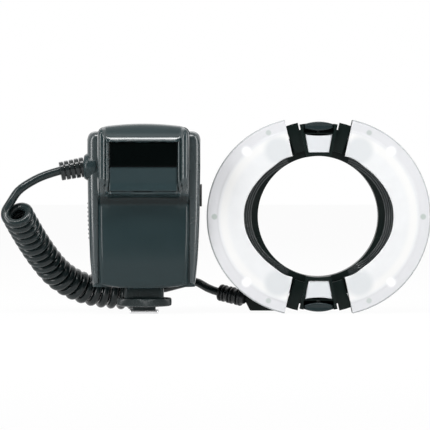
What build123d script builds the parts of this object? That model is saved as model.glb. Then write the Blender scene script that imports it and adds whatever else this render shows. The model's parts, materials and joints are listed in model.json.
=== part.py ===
from build123d import *
import os
from math import cos, radians, sin, sqrt, tan

os.makedirs("parts", exist_ok=True)

# Shared sizes, all in millimetres
overrun = 5.0
wall = 2.0
seat_gap = 0.1
part_gap = 0.3
fit_gap = 0.06
screw_radius = 1.2
screw_head_radius = 2.0
screw_head_height = 1.4

# Case of the control unit
case_half_width = 36.5
case_waist_half_width = 35.9
case_knee_half_width = 34.8
case_foot_half_width = 33.0
case_front = -15.0
case_split = 23.8
case_rear = 28.0
case_bottom = 17.5
case_knee = 36.0
case_waist = 62.0
case_top = 118.0
case_corner = 6.0
case_shoulder = 5.0
ridge_top = 122.6
ridge_rear = 20.0
ridge_corner = 4.5
case_opening_lip = 4.0
post_radius = 2.6
post_low_x = 27.0
post_low_z = 21.6
post_high_x = 30.0
post_high_z = 108.0

# Front cover with its hood
cover_half_width = 29.6
cover_foot_half_width = 28.2
cover_bottom = 16.2
cover_side_bottom = 19.0
cover_side_knee = 50.0
cover_foot_front = -18.6
cover_belly_front = -22.4
cover_belly = 46.0
cover_brow_front = -20.6
cover_brow = 72.0
band_sag = 0.9
hood_lip = 78.4
hood_lip_front = -28.6
hood_front = -30.4
hood_middle = 98.0
hood_top_front = -28.4
hood_crown = 123.0
hood_crown_front = -24.5
hood_shoulder = 120.4
crown_sag = 2.4
cover_corner = 5.0
cover_edge = 1.6

# Window and panel in the hood
recess_half_width = 21.8
recess_bottom = 79.4
recess_top = 112.6
recess_floor = -27.2
window_bottom = 95.2
window_top = 110.6
window_front = -29.3
window_opening_half_width = 15.0
window_opening_inset = 2.2
panel_front = -28.4
panel_foot_front = -27.9
panel_lip_front = -29.0
panel_lip_height = 4.4
hood_cavity_front = -25.2

# Wireless sensor behind the window
sensor_board_thickness = 1.2
sensor_eye_radius = 2.6
sensor_eye_height = 1.6
sensor_eye_spacing = 12.0

# Display and keys on the rear cover
display_half_width = 24.0
display_bottom = 82.0
display_top = 110.0
display_recess = 1.5
display_window_thickness = 1.2
display_module_thickness = 4.0
display_lip = 2.0
key_centre_height = 56.0
key_ring_radius = 11.0
arrow_key_radius = 3.2
set_key_radius = 4.6
side_key_radius = 3.0
side_key_spacing = 24.0
side_key_height = 38.0
key_flange_height = 1.0
key_flange_lip = 0.9
key_proud = 1.0
membrane_thickness = 0.3
membrane_half_width = 28.0
membrane_bottom = 32.0
membrane_top = 72.0

# Battery door on the left side wall, magazine, cells
door_front = -9.4
door_rear = 22.2
door_bottom = 44.4
door_top = 78.6
door_gap = 0.5
door_pin_radius = 0.5
door_pin_inset = 1.3
door_pin_drop = 1.0
door_pin_overhang = 1.2
door_rib_count = 9
door_rib_bottom = 49.0
door_rib_pitch = 2.8
door_rib_radius = 0.7
door_rib_margin = 3.0
cell_radius = 7.25
cell_length = 49.2
cell_nub_radius = 2.7
cell_nub_height = 1.0
cell_gap = 0.1
magazine_wall = 0.8
magazine_end_wall = 1.3
magazine_left = -32.8
magazine_front = -9.0
magazine_bottom = 45.6
magazine_window_inset = 5.0
contact_thickness = 0.5
contact_width = 9.0

# Electronics in the case
board_thickness = 1.6
board_rear = 23.9
board_half_width = 31.0
board_bottom = 28.0
board_top = 80.0
capacitor_radius = 8.5
capacitor_length = 34.0
capacitor_left = -24.0
capacitor_y = 4.0
capacitor_cap_length = 2.0
transformer_width = 13.0
transformer_depth = 12.0
transformer_height = 15.0
transformer_flange = 2.0
transformer_core_inset = 2.0
transformer_x = 17.4

# Rubber socket cover on the right side wall
socket_cover_front = 11.6
socket_cover_rear = 22.4
socket_cover_bottom = 69.0
socket_cover_top = 83.6
socket_cover_thickness = 1.8
socket_cover_proud = 0.9
socket_cover_corner = 1.5
socket_radius = 2.6
socket_bore_radius = 1.25
socket_length = 8.0
socket_spacing = 6.6

# Shoe foot
neck_half_width = 12.7
neck_half_depth = 11.0
neck_bottom = 9.5
neck_corner = 2.5
wheel_radius = 17.8
wheel_bottom = 4.6
wheel_height = 4.5
wheel_bore_radius = 6.0
wheel_groove_count = 48
wheel_groove_radius = 0.55
foot_neck_half_width = 7.4
foot_neck_half_depth = 8.0
shoe_width = 18.6
shoe_depth = 18.0
shoe_thickness = 2.0
shoe_corner = 1.0
lock_pin_radius = 1.0
lock_pin_y = -6.6
lock_pin_recess = 0.3
contact_radius = 0.8
contact_spread = 3.6
contact_y = 3.0

# Cord boss on the upper left and both strain reliefs
boss_radius = 8.7
boss_tip_radius = 7.4
boss_inner_x = -30.4
boss_shoulder_x = -36.8
boss_tip_x = -38.8
boss_y = -8.0
boss_z = 95.0
relief_ring_radius = 6.3
relief_tip_ring_radius = 5.7
relief_core_radius = 3.9
relief_ring_thickness = 1.9
relief_ring_count = 5
relief_bridge_width = 4.0
ring_relief_count = 3
ring_relief_radius = 5.6
ring_relief_core_radius = 3.8
ring_relief_disc = 1.5
ring_relief_slot = 0.9

# Curly cord: its wire, its curls and its route
cord_radius = 2.45
arc_share = 0.45
curl_radius = 7.3
curl_count = 21
curl_start_degrees = 135
curl_steps = 24
curl_tail_turns = 1.25
curl_tail_stretch = 11.0
curl_axis = [
    (-79.6, -23.0, 65.6),
    (-75.6, -7.0, 55.2),
    (-67.4, 12.0, 38.0),
    (-56.0, 28.6, 22.0),
    (-38.6, 39.0, 12.8),
    (-17.0, 42.8, 10.2),
    (0.0, 42.4, 10.4),
    (14.0, 39.6, 14.6),
]
lead_upper_start = (-54.1, -9.6, 92.1)
lead_upper_middle = [
    (-61.6, -10.4, 90.7),
    (-69.6, -14.2, 86.4),
]
lead_lower_middle = [
    (33.6, 32.4, 19.6),
    (42.3, 28.92, 13.84),
]

# Ring head
half_outer_radius = 64.2
ring_clearance = 4.1
cut_degrees = 12.3
half_inner_radius = 0.624611 * half_outer_radius
half_shift = 8.4
ring_front = -8.0
diffuser_thickness = 2.2
chamber_floor_rear = 3.0
half_rear = 11.0
half_wall = 1.5
rear_box_radius = 0.803738 * half_outer_radius
end_set_back_degrees = 15.0
bore_radius = 0.61215 * half_outer_radius
frame_outer_radius = 0.794393 * half_outer_radius
frame_front = 3.3
frame_rear = 12.0
plate_rear = 17.0
plate_outer_radius = 0.841121 * half_outer_radius
pocket_radius = 0.680685 * half_outer_radius
pocket_half_height = 0.213396 * half_outer_radius
pocket_depth = 2.4
block_gap_degrees = 0.7
block_outer_radius = 0.950156 * half_outer_radius
block_front = -7.4
prong_front = -5.0
prong_rear = 1.2
prong_outer_radius = 0.971963 * half_outer_radius
prong_inner_radius = 0.679128 * half_outer_radius
prong_degrees = 20.4
prong_notch_degrees = 12.6
prong_notch_radius = 0.897196 * half_outer_radius
diffuser_edge = 0.7
end_wall_degrees = 1.6
reflector_margin_degrees = 1.0
reflector_thickness = 1.0
reflector_front = -3.6
tube_radius = 1.9
tube_y = -1.8
tube_path_radius = 0.813084 * half_outer_radius
tube_span_degrees = 56.0
electrode_radius = 1.1
electrode_length = 4.0

# Lamp windows, lamps, release buttons and rods in the two blocks
lamp_window_outer = 0.834891 * half_outer_radius
lamp_window_inner = 0.64486 * half_outer_radius
lamp_window_outer_half = 0.140187 * half_outer_radius
lamp_window_inner_half = 0.105919 * half_outer_radius
lamp_window_thickness = 1.6
lamp_window_front = -7.0
lamp_pocket_rear = -1.7
lamp_board_thickness = 1.0
lamp_board_inset = 1.2
lamp_radius = 2.5
lamp_height = 2.4
button_outer = 0.961059 * half_outer_radius
button_shoulder = 0.923676 * half_outer_radius
button_inner = 0.866044 * half_outer_radius
button_half_width = 0.149533 * half_outer_radius
button_end_half_width = 0.11215 * half_outer_radius
button_front = -7.8
button_rear = 2.2
button_travel = 1.1
button_gap = 0.2
spring_radius = 1.3
spring_wire = 0.2
spring_turns = 5
spring_y = 0.6
spring_seat = 0.757009 * half_outer_radius
rod_radius = 1.25
rod_half_length = 0.383178 * half_outer_radius
rod_height = 0.850467 * half_outer_radius
rod_y = 7.0
lug_half_width = 0.133956 * half_outer_radius
lug_inner = 0.778816 * half_outer_radius
ring_screw_count = 6
ring_screw_circle = 0.725857 * half_outer_radius
ring_screw_length = 9.0

# Cable boss at the lower left of the ring
ring_relief_left = 0.741433 * half_outer_radius
ring_relief_drop = 0.843089 * half_outer_radius
ring_relief_y = 16.4
ring_relief_run = (16.0, -8.6, -3.6)
ring_boss_front = 11.4
ring_boss_rear = 21.4
ring_boss_outline_shares = [
    (-0.76947, -0.694704),
    (-0.741433, -0.866044),
    (-0.679128, -0.94081),
    (-0.411215, -0.94081),
    (-0.373832, -0.778816),
    (-0.560748, -0.529595),
    (-0.660436, -0.498442),
]

# Places worked out from the sizes
ring_x = case_half_width + ring_clearance + half_shift + half_outer_radius
ring_z = half_outer_radius * cos(radians(cut_degrees))
ring_centre = (ring_x, ring_z)
ring_relief_end = (ring_x - ring_relief_left, ring_relief_y, ring_z - ring_relief_drop)
lead_lower_end = tuple(end - run for end, run in zip(ring_relief_end, ring_relief_run))
case_depth_middle = (case_front + case_rear) / 2


def save(name, shape):
    """Write one piece to its own file."""
    export_step(shape, f"parts/{name}.step")
    return shape


def block(left, right, front, rear, bottom, top):
    """Box between six limits."""
    middle = Pos((left + right) / 2, (front + rear) / 2, (bottom + top) / 2)
    return middle * Box(right - left, rear - front, top - bottom)


def slab(outline, front, rear):
    """Solid of an outline drawn in X and Z, between two depths."""
    plane = Plane(origin=(0, rear, 0), x_dir=(1, 0, 0), z_dir=(0, -1, 0))
    return extrude(plane * outline, amount=rear - front)


def side_slab(outline, left, right):
    """Solid of an outline drawn in Y and Z, between two sides."""
    plane = Plane(origin=(left, 0, 0), x_dir=(0, 1, 0), z_dir=(1, 0, 0))
    return extrude(plane * outline, amount=right - left)


def floor_slab(outline, bottom, top):
    """Solid of an outline drawn in X and Y, between two heights."""
    return extrude(Pos(0, 0, bottom) * outline, amount=top - bottom)


def rod(radius, start, end):
    """Round rod between two points."""
    way = Vector(*end) - Vector(*start)
    return extrude(Plane(origin=start, z_dir=way) * Circle(radius), amount=way.length)


def cone_rod(start_radius, end_radius, start, end):
    """Tapered rod between two points."""
    way = Vector(*end) - Vector(*start)
    near = Plane(origin=start, z_dir=way) * Circle(start_radius)
    far = Plane(origin=end, z_dir=way) * Circle(end_radius)
    return loft([near, far])


def polar(radius, degrees, centre=(0, 0)):
    """Point of a circle, by its angle from the X axis."""
    angle = radians(degrees)
    return (centre[0] + radius * cos(angle), centre[1] + radius * sin(angle))


def band(inner, outer, start, end, centre=(0, 0)):
    """Face between two arcs round one centre."""
    middle = (start + end) / 2
    far = ThreePointArc(*[polar(outer, angle, centre) for angle in (start, middle, end)])
    near = ThreePointArc(*[polar(inner, angle, centre) for angle in (end, middle, start)])
    return make_face(far + Line(far @ 1, near @ 0) + near + Line(near @ 1, far @ 0))


def case_section(height, half_width, inset):
    """Rounded section of the case at one height."""
    depth = case_rear - case_front - 2 * inset
    section = RectangleRounded(2 * (half_width - inset), depth, case_corner - inset)
    return Pos(0, case_depth_middle, height) * section


def case_block(inset):
    """Whole case as one block, drawn in by a wall."""
    return loft([
        case_section(case_bottom + inset, case_foot_half_width, inset),
        case_section(case_knee, case_knee_half_width, inset),
        case_section(case_waist, case_waist_half_width, inset),
        case_section(case_top - inset, case_half_width, inset),
    ])


def side_at(z):
    """Half width of the case at a height between its knee and its top."""
    if z < case_waist:
        share = (z - case_knee) / (case_waist - case_knee)
        return case_knee_half_width + share * (case_waist_half_width - case_knee_half_width)
    share = (z - case_waist) / (case_top - case_waist)
    return case_waist_half_width + share * (case_half_width - case_waist_half_width)


def ridge(inset):
    """Raised band that carries the hood's height back over the top."""
    low = case_top - case_shoulder - case_corner
    side = cover_half_width - inset
    top = ridge_top - inset
    crown = ThreePointArc((side, top - crown_sag), (0, top), (-side, top - crown_sag))
    rest = Polyline((-side, top - crown_sag), (-side, low), (side, low), (side, top - crown_sag))
    outline = make_face(crown + rest)
    outline = fillet(outline.vertices().group_by(Axis.Y)[-1], ridge_corner - inset)
    return slab(outline, case_front + inset, ridge_rear - inset)


def case_shell():
    """Hollow case with its open front, before it is split."""
    outer = case_block(0)
    outer = fillet(outer.edges().group_by(Axis.Z)[-1], case_shoulder)
    shell = (outer + ridge(0)) - case_block(wall) - ridge(wall)
    opening = cover_half_width - case_opening_lip
    bottom = cover_side_bottom + case_opening_lip
    return shell - block(-opening, opening, case_front - overrun, case_front + wall + overrun,
                         bottom, case_top - case_opening_lip)


def post_places():
    """Where the four long screws run, in X and Z."""
    low = [(side * post_low_x, post_low_z) for side in (-1, 1)]
    high = [(side * post_high_x, post_high_z) for side in (-1, 1)]
    return low + high


def door_box(gap):
    """Space of the battery door in the left wall."""
    return block(-case_half_width - overrun, -case_half_width + case_corner,
                 door_front + gap, door_rear - gap, door_bottom + gap, door_top - gap)


def door_axis():
    """X and Z of the battery door's hinge."""
    return -(case_half_width - door_pin_inset), door_top - door_gap - door_pin_drop


def socket_recess(depth, gap):
    """Space of the rubber flap in the right wall."""
    return block(case_half_width - depth, case_half_width + overrun,
                 socket_cover_front - gap, socket_cover_rear + gap,
                 socket_cover_bottom - gap, socket_cover_top + gap)


def socket_places():
    """Depth and height of the two side sockets."""
    depth = (socket_cover_front + socket_cover_rear) / 2
    height = (socket_cover_bottom + socket_cover_top) / 2
    return [(depth, height + side * socket_spacing / 2) for side in (-1, 1)]


def make_main_case():
    """Middle shell with its screw posts, door opening and side recess."""
    shell = case_shell()
    front_part = block(-case_half_width - overrun, case_half_width + overrun, case_front - overrun,
                       case_split, case_bottom - overrun, ridge_top + overrun)
    case = shell & front_part
    for x, z in post_places():
        case += rod(post_radius, (x, case_front + wall / 2, z), (x, case_split - part_gap, z))
        case -= rod(screw_radius + seat_gap, (x, case_front + wall, z), (x, case_rear, z))
    case -= door_box(0)
    pin_x, pin_z = door_axis()
    case -= rod(door_pin_radius, (pin_x, door_front - door_pin_overhang, pin_z),
                (pin_x, door_rear + door_pin_overhang, pin_z))
    case -= socket_recess(socket_cover_thickness - socket_cover_proud, seat_gap)
    for y, z in socket_places():
        case -= rod(socket_radius, (case_half_width - socket_length, y, z), (case_half_width + overrun, y, z))
    case -= rod(boss_tip_radius - wall, (-case_half_width - overrun, boss_y, boss_z),
                (-case_half_width + case_corner, boss_y, boss_z))
    return case


def key_outlines():
    """Every key's place and radius on the rear cover, in X and Z."""
    arrows = {
        "key_up": (0, key_ring_radius),
        "key_down": (0, -key_ring_radius),
        "key_left": (key_ring_radius, 0),
        "key_right": (-key_ring_radius, 0),
    }
    keys = {name: (x, key_centre_height + z, arrow_key_radius) for name, (x, z) in arrows.items()}
    keys["set_key"] = (0, key_centre_height, set_key_radius)
    keys["power_key"] = (-side_key_spacing / 2, side_key_height, side_key_radius)
    keys["test_key"] = (side_key_spacing / 2, side_key_height, side_key_radius)
    return keys


def make_rear_cover():
    """Back shell with the display's recess, the key holes and the screw seats."""
    rear_part = block(-case_half_width - overrun, case_half_width + overrun, case_split,
                      case_rear + overrun, case_bottom - overrun, ridge_top + overrun)
    cover = case_shell() & rear_part
    cover -= block(-display_half_width, display_half_width, case_rear - display_recess, case_rear + overrun,
                   display_bottom, display_top)
    lip = display_lip
    cover -= block(-display_half_width + lip, display_half_width - lip, case_split - overrun,
                   case_rear + overrun, display_bottom + lip, display_top - lip)
    for x, z, radius in key_outlines().values():
        cover -= rod(radius + seat_gap, (x, case_split, z), (x, case_rear + overrun, z))
    for x, z in post_places():
        cover += rod(post_radius, (x, case_split, z), (x, case_rear - wall / 2, z))
        cover -= rod(screw_radius + seat_gap, (x, case_split - overrun, z), (x, case_rear + overrun, z))
        cover -= rod(screw_head_radius + seat_gap, (x, case_rear - screw_head_height, z),
                     (x, case_rear + overrun, z))
    return cover


def make_case_screws():
    """Four long screws from the back through both shells."""
    screws = []
    for x, z in post_places():
        shaft = rod(screw_radius, (x, case_front + 2 * wall, z), (x, case_rear - screw_head_height, z))
        head = rod(screw_head_radius, (x, case_rear - screw_head_height, z), (x, case_rear - seat_gap, z))
        screws.append(shaft + head)
    return Compound(screws)


def cover_profile():
    """Side profile of the front cover, in Y and Z."""
    foot = (cover_foot_front, cover_bottom)
    brow = (cover_brow_front, cover_brow)
    lip = (hood_lip_front, hood_lip)
    shoulder = (hood_top_front, hood_shoulder)
    crown = (hood_crown_front, hood_crown)
    hollow = ((brow[0] + lip[0]) / 2 + band_sag, (brow[1] + lip[1]) / 2 + band_sag)
    back_top = (case_front, hood_crown)
    back_foot = (case_front, cover_bottom)
    front = ThreePointArc(foot, (cover_belly_front, cover_belly), brow)
    front += ThreePointArc(brow, hollow, lip)
    front += ThreePointArc(lip, (hood_front, hood_middle), shoulder)
    return make_face(front + Polyline(shoulder, crown, back_top, back_foot, foot))


def cover_outline():
    """Front view of the front cover, in X and Z."""
    low_left = (-cover_foot_half_width, cover_side_bottom)
    low_right = (cover_foot_half_width, cover_side_bottom)
    top_left = (-cover_half_width, hood_crown - crown_sag)
    top_right = (cover_half_width, hood_crown - crown_sag)
    outline = Polyline(low_right, (cover_half_width, cover_side_knee), top_right)
    outline += ThreePointArc(top_right, (0, hood_crown), top_left)
    outline += Polyline(top_left, (-cover_half_width, cover_side_knee), low_left)
    outline = make_face(outline + ThreePointArc(low_left, (0, cover_bottom), low_right))
    return fillet(outline.vertices().group_by(Axis.Y)[-1], cover_corner)


def make_front_cover():
    """Hooded front shell, with the recess for the window and its cavity."""
    cover = side_slab(cover_profile(), -cover_half_width, cover_half_width)
    cover &= slab(cover_outline(), hood_front - overrun, case_front)
    rim = [edge for edge in cover.edges() if edge.center().Y < case_front - part_gap]
    cover = fillet(rim, cover_edge)
    cover -= block(-recess_half_width, recess_half_width, hood_front - overrun, recess_floor,
                   recess_bottom, recess_top)
    inner = cover_half_width - wall
    cover -= block(-inner, inner, cover_foot_front + wall, case_front + overrun,
                   cover_side_bottom + wall, hood_lip)
    cover -= block(-inner, inner, hood_cavity_front, case_front + overrun,
                   hood_lip + wall, hood_shoulder - wall)
    view = window_opening_half_width
    cover -= block(-view, view, hood_front, case_front, window_bottom + window_opening_inset,
                   window_top - window_opening_inset)
    return cover


def make_sensor_window():
    """Glossy window in the hood's recess."""
    half = recess_half_width - seat_gap
    return block(-half, half, window_front, recess_floor - seat_gap, window_bottom, window_top)


def make_front_panel():
    """Satin panel below the window, which ends in a rounded lip."""
    seat = recess_floor - seat_gap
    bottom = recess_bottom + seat_gap
    top = window_bottom - seat_gap
    lip_top = bottom + panel_lip_height
    outline = Polyline((seat, bottom), (seat, top), (panel_front, top), (panel_foot_front, lip_top))
    lip = ThreePointArc((panel_foot_front, lip_top), (panel_lip_front, (bottom + lip_top) / 2),
                        (panel_foot_front, bottom))
    outline = make_face(outline + lip + Line((panel_foot_front, bottom), (seat, bottom)))
    half = recess_half_width - seat_gap
    return side_slab(outline, -half, half)


def make_sensor_board():
    """Receiver board with its two domed eyes behind the window."""
    height = (window_bottom + window_top) / 2
    front = hood_cavity_front + seat_gap
    half = window_opening_half_width + wall
    board = block(-half, half, front, front + sensor_board_thickness,
                  window_bottom, window_top)
    for side in (-1, 1):
        x = side * sensor_eye_spacing / 2
        board += rod(sensor_eye_radius, (x, front - sensor_eye_height, height), (x, front, height))
    return board


def make_display_window():
    """Clear pane over the display."""
    half = display_half_width - seat_gap
    seat = case_rear - display_recess + seat_gap
    return block(-half, half, seat, seat + display_window_thickness,
                 display_bottom + seat_gap, display_top - seat_gap)


def make_display_module():
    """Display panel behind the rear cover's opening."""
    half = display_half_width - seat_gap
    rear = case_rear - wall - seat_gap
    return block(-half, half, rear - display_module_thickness, rear, display_bottom, display_top)


def make_key(x, z, radius):
    """Round key with the flange that keeps it in the cover."""
    inside = case_rear - wall - seat_gap
    cap = rod(radius, (x, inside - key_flange_height / 2, z), (x, case_rear + key_proud, z))
    cap = fillet(cap.edges().group_by(Axis.Y)[-1], key_proud / 2)
    return cap + rod(radius + key_flange_lip, (x, inside - key_flange_height, z), (x, inside, z))


def make_keypad_membrane():
    """Thin switch sheet under the keys."""
    rear = board_rear + seat_gap + membrane_thickness
    return block(-membrane_half_width, membrane_half_width, rear - membrane_thickness, rear,
                 membrane_bottom, membrane_top)


def make_battery_door():
    """Door cut from the case's own side, with thumb ribs and a hinge bore."""
    door = (case_block(0) - case_block(wall)) & door_box(door_gap)
    for index in range(door_rib_count):
        z = door_rib_bottom + index * door_rib_pitch
        x = -side_at(z)
        door += rod(door_rib_radius, (x, door_front + door_rib_margin, z), (x, door_rear - door_rib_margin, z))
    pin_x, pin_z = door_axis()
    return door - rod(door_pin_radius + fit_gap, (pin_x, door_front - overrun, pin_z),
                      (pin_x, door_rear + overrun, pin_z))


def make_door_hinge_pin():
    """Steel pin on which the battery door turns."""
    pin_x, pin_z = door_axis()
    return rod(door_pin_radius, (pin_x, door_front - door_pin_overhang, pin_z),
               (pin_x, door_rear + door_pin_overhang, pin_z))


def magazine_limits():
    """Left, right, front, rear, bottom and top of the battery magazine."""
    width = 2 * magazine_end_wall + 2 * contact_thickness + cell_length + cell_nub_height + 2 * cell_gap
    across = 4 * cell_radius + cell_gap + 2 * magazine_wall + 2 * cell_gap
    return (magazine_left, magazine_left + width, magazine_front, magazine_front + across,
            magazine_bottom, magazine_bottom + across)


def make_battery_magazine():
    """Open-sided tray that carries four cells."""
    left, right, front, rear, bottom, top = magazine_limits()
    side = magazine_wall
    end = magazine_end_wall
    tray = block(left, right, front, rear, bottom, top)
    tray -= block(left + end, right - end, front + side, rear - side, bottom + side, top - side)
    inset = magazine_window_inset
    tray -= block(left + inset, right - inset, front + inset, rear - inset, bottom - overrun, top + overrun)
    return tray - block(left + inset, right - inset, front - overrun, rear + overrun,
                        bottom + inset, top - inset)


def cell_places():
    """Depth, height and direction of the four cells."""
    left, right, front, rear, bottom, top = magazine_limits()
    near = front + magazine_wall + cell_gap + cell_radius
    far = rear - magazine_wall - cell_gap - cell_radius
    low = bottom + magazine_wall + cell_gap + cell_radius
    high = top - magazine_wall - cell_gap - cell_radius
    return [(near, low, 1), (far, low, -1), (near, high, -1), (far, high, 1)]


def make_battery_cells():
    """Four cells, laid head to tail."""
    left, right, front, rear, bottom, top = magazine_limits()
    start = left + magazine_end_wall + contact_thickness + cell_gap
    end = right - magazine_end_wall - contact_thickness - cell_gap
    cells = []
    for y, z, way in cell_places():
        nub_end = end if way > 0 else start
        tail_end = start if way > 0 else end
        shoulder = nub_end - way * cell_nub_height
        can = rod(cell_radius, (tail_end, y, z), (shoulder, y, z))
        cells.append(can + rod(cell_nub_radius, (shoulder, y, z), (nub_end, y, z)))
    return Compound(cells)


def make_battery_contacts():
    """Spring plates at both ends of the cells."""
    left, right, front, rear, bottom, top = magazine_limits()
    plates = []
    for start in (left + magazine_end_wall, right - magazine_end_wall - contact_thickness):
        for y, z, way in cell_places():
            half = contact_width / 2
            plates.append(block(start, start + contact_thickness, y - half, y + half, z - half, z + half))
    return Compound(plates)


def make_circuit_board():
    """Main board between the cells and the keys."""
    return block(-board_half_width, board_half_width, board_rear - board_thickness, board_rear,
                 board_bottom, board_top)


def make_main_capacitor():
    """Flash capacitor lying on the floor of the case."""
    z = case_bottom + wall + part_gap + capacitor_radius
    end = capacitor_left + capacitor_length
    can = rod(capacitor_radius, (capacitor_left, capacitor_y, z), (end, capacitor_y, z))
    neck = end - capacitor_cap_length
    groove = rod(capacitor_radius, (neck, capacitor_y, z), (neck + seat_gap + part_gap, capacitor_y, z))
    groove -= rod(capacitor_radius - part_gap, (neck, capacitor_y, z), (neck + seat_gap + part_gap, capacitor_y, z))
    return can - groove


def make_transformer():
    """Charging transformer: a core with a wider winding frame."""
    bottom = case_bottom + wall + part_gap
    top = bottom + transformer_height
    half_width = transformer_width / 2
    half_depth = transformer_depth / 2
    x = transformer_x
    y = capacitor_y
    inset = transformer_core_inset
    core = block(x - half_width + inset, x + half_width - inset, y - half_depth + inset,
                 y + half_depth - inset, bottom, top)
    for low in (bottom, top - transformer_flange):
        core += block(x - half_width, x + half_width, y - half_depth, y + half_depth,
                      low, low + transformer_flange)
    return core


def socket_hinge():
    """X and Y of the rubber flap's bend."""
    return case_half_width, socket_cover_rear - socket_cover_proud


def make_socket_cover():
    """Rubber flap over the side sockets, rounded where it bends."""
    hinge_x, hinge_y = socket_hinge()
    inner = case_half_width - socket_cover_thickness + socket_cover_proud
    flap = block(inner, case_half_width + socket_cover_proud, socket_cover_front, hinge_y,
                 socket_cover_bottom, socket_cover_top)
    flap = fillet(flap.edges().filter_by(Axis.X), socket_cover_corner)
    bend = rod(socket_cover_proud, (hinge_x, hinge_y, socket_cover_bottom),
               (hinge_x, hinge_y, socket_cover_top))
    return flap + bend


def make_side_sockets():
    """Two small round sockets behind the flap."""
    sockets = []
    for y, z in socket_places():
        start = (case_half_width - socket_length, y, z)
        end = (case_half_width - socket_cover_thickness + socket_cover_proud - part_gap, y, z)
        socket = rod(socket_radius, start, end)
        bore_start = (case_half_width - socket_length + wall, y, z)
        sockets.append(socket - rod(socket_bore_radius, bore_start, (case_half_width, y, z)))
    return Compound(sockets)


def make_shoe_neck():
    """Neck under the case, with the column that the wheel turns on."""
    outline = RectangleRounded(2 * neck_half_width, 2 * neck_half_depth, neck_corner)
    neck = floor_slab(outline, neck_bottom, case_bottom)
    column = floor_slab(Circle(wheel_bore_radius), shoe_thickness, neck_bottom)
    foot = floor_slab(RectangleRounded(2 * foot_neck_half_width, 2 * foot_neck_half_depth, shoe_corner),
                      shoe_thickness, wheel_bottom - part_gap)
    neck = neck + column + foot
    return neck - rod(lock_pin_radius + fit_gap, (0, lock_pin_y, 0), (0, lock_pin_y, wheel_bottom))


def make_lock_wheel():
    """Knurled wheel that drives the lock pin."""
    outline = Circle(wheel_radius) - Circle(wheel_bore_radius + fit_gap)
    for index in range(wheel_groove_count):
        x, y = polar(wheel_radius, 360 * index / wheel_groove_count)
        outline -= Pos(x, y) * Circle(wheel_groove_radius)
    return floor_slab(outline, wheel_bottom, wheel_bottom + wheel_height)


def make_lock_pin():
    """Pin that drops into the shoe's hole."""
    return rod(lock_pin_radius, (0, lock_pin_y, lock_pin_recess), (0, lock_pin_y, wheel_bottom - seat_gap))


def contact_places():
    """Where the shoe contacts stand, in X and Y."""
    corners = [(x * contact_spread, contact_y + y * contact_spread) for x in (-1, 1) for y in (-1, 1)]
    return corners + [(0, 0)]


def make_shoe_plate():
    """Metal plate that slides into a camera's shoe."""
    plate = floor_slab(RectangleRounded(shoe_width, shoe_depth, shoe_corner), 0, shoe_thickness)
    plate -= rod(lock_pin_radius + fit_gap, (0, lock_pin_y, -overrun), (0, lock_pin_y, overrun))
    for x, y in contact_places():
        plate -= rod(contact_radius + seat_gap, (x, y, -overrun), (x, y, overrun))
    return plate


def make_shoe_contacts():
    """Round contacts in the shoe plate."""
    return Compound([rod(contact_radius, (x, y, 0), (x, y, shoe_thickness)) for x, y in contact_places()])


def make_cord_boss():
    """Round boss in the case's corner that the cord comes out of."""
    body = rod(boss_radius, (boss_inner_x, boss_y, boss_z), (boss_shoulder_x, boss_y, boss_z))
    tip = cone_rod(boss_radius, boss_tip_radius, (boss_shoulder_x, boss_y, boss_z),
                   (boss_tip_x, boss_y, boss_z))
    return body + tip


def relief_plane(start, end):
    """Frame of a strain relief, which runs along its own Z."""
    return Plane(origin=start, x_dir=(0, 1, 0), z_dir=Vector(*end) - Vector(*start))


def make_unit_strain_relief():
    """Rubber relief of thin rings, bridged in turn at the sides and at the top and bottom."""
    start = (boss_tip_x + part_gap, boss_y, boss_z)
    length = (Vector(*lead_upper_start) - Vector(*start)).length
    pitch = length / relief_ring_count
    relief = floor_slab(Circle(relief_core_radius), 0, length)
    for index in range(relief_ring_count):
        share = index / (relief_ring_count - 1)
        radius = relief_ring_radius + share * (relief_tip_ring_radius - relief_ring_radius)
        low = (index + 1) * pitch - relief_ring_thickness
        relief += floor_slab(Circle(radius), low, low + relief_ring_thickness)
        wide = Rectangle(relief_bridge_width, 2 * radius)
        bridge = (wide if index % 2 else Rot(0, 0, 90) * wide) & Circle(radius)
        relief += floor_slab(bridge, index * pitch, low)
    return relief_plane(start, lead_upper_start) * relief - make_cord_boss()


def make_ring_strain_relief():
    """Rubber relief of three slotted discs at the ring's end of the cord."""
    length = (Vector(*ring_relief_end) - Vector(*lead_lower_end)).length
    pitch = length / ring_relief_count
    relief = floor_slab(Circle(ring_relief_core_radius), 0, length)
    for index in range(ring_relief_count):
        low = index * pitch
        for start in (low, low + ring_relief_disc + ring_relief_slot):
            relief += floor_slab(Circle(ring_relief_radius), start, start + ring_relief_disc)
    return relief_plane(lead_lower_end, ring_relief_end) * relief


def curl_frames():
    """Fine points of the curls' centreline, which unwind into a straight tail."""
    axis = Spline(*curl_axis)
    pitch = (axis.length - curl_tail_stretch) / curl_count
    normal = Vector(1, 0, 0)
    points = []
    for index in range(curl_count * curl_steps + 1):
        turns = index / curl_steps
        tail = max(0, turns - (curl_count - curl_tail_turns)) / curl_tail_turns
        share = (pitch * turns + curl_tail_stretch * tail ** 2) / axis.length
        way = axis % share
        normal = (normal - way * normal.dot(way)).normalized()
        side = normal.cross(way)
        angle = radians(curl_start_degrees + 360 * turns)
        radius = curl_radius * (1 - tail ** 2 * (3 - 2 * tail))
        points.append((axis @ share) + normal * (radius * cos(angle)) + side * (radius * sin(angle)))
    return points


def curl_knots():
    """A point and a direction of the curls at every half turn."""
    points = curl_frames()
    step = curl_steps // 2
    knots = []
    for index in range(0, len(points), step):
        if index == 0:
            way = points[1] * 4 - points[0] * 3 - points[2]
        elif index == len(points) - 1:
            way = points[-1] * 3 - points[-2] * 4 + points[-3]
        else:
            way = points[index + 1] - points[index - 1]
        knots.append((points[index], way.normalized()))
    return knots


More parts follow.
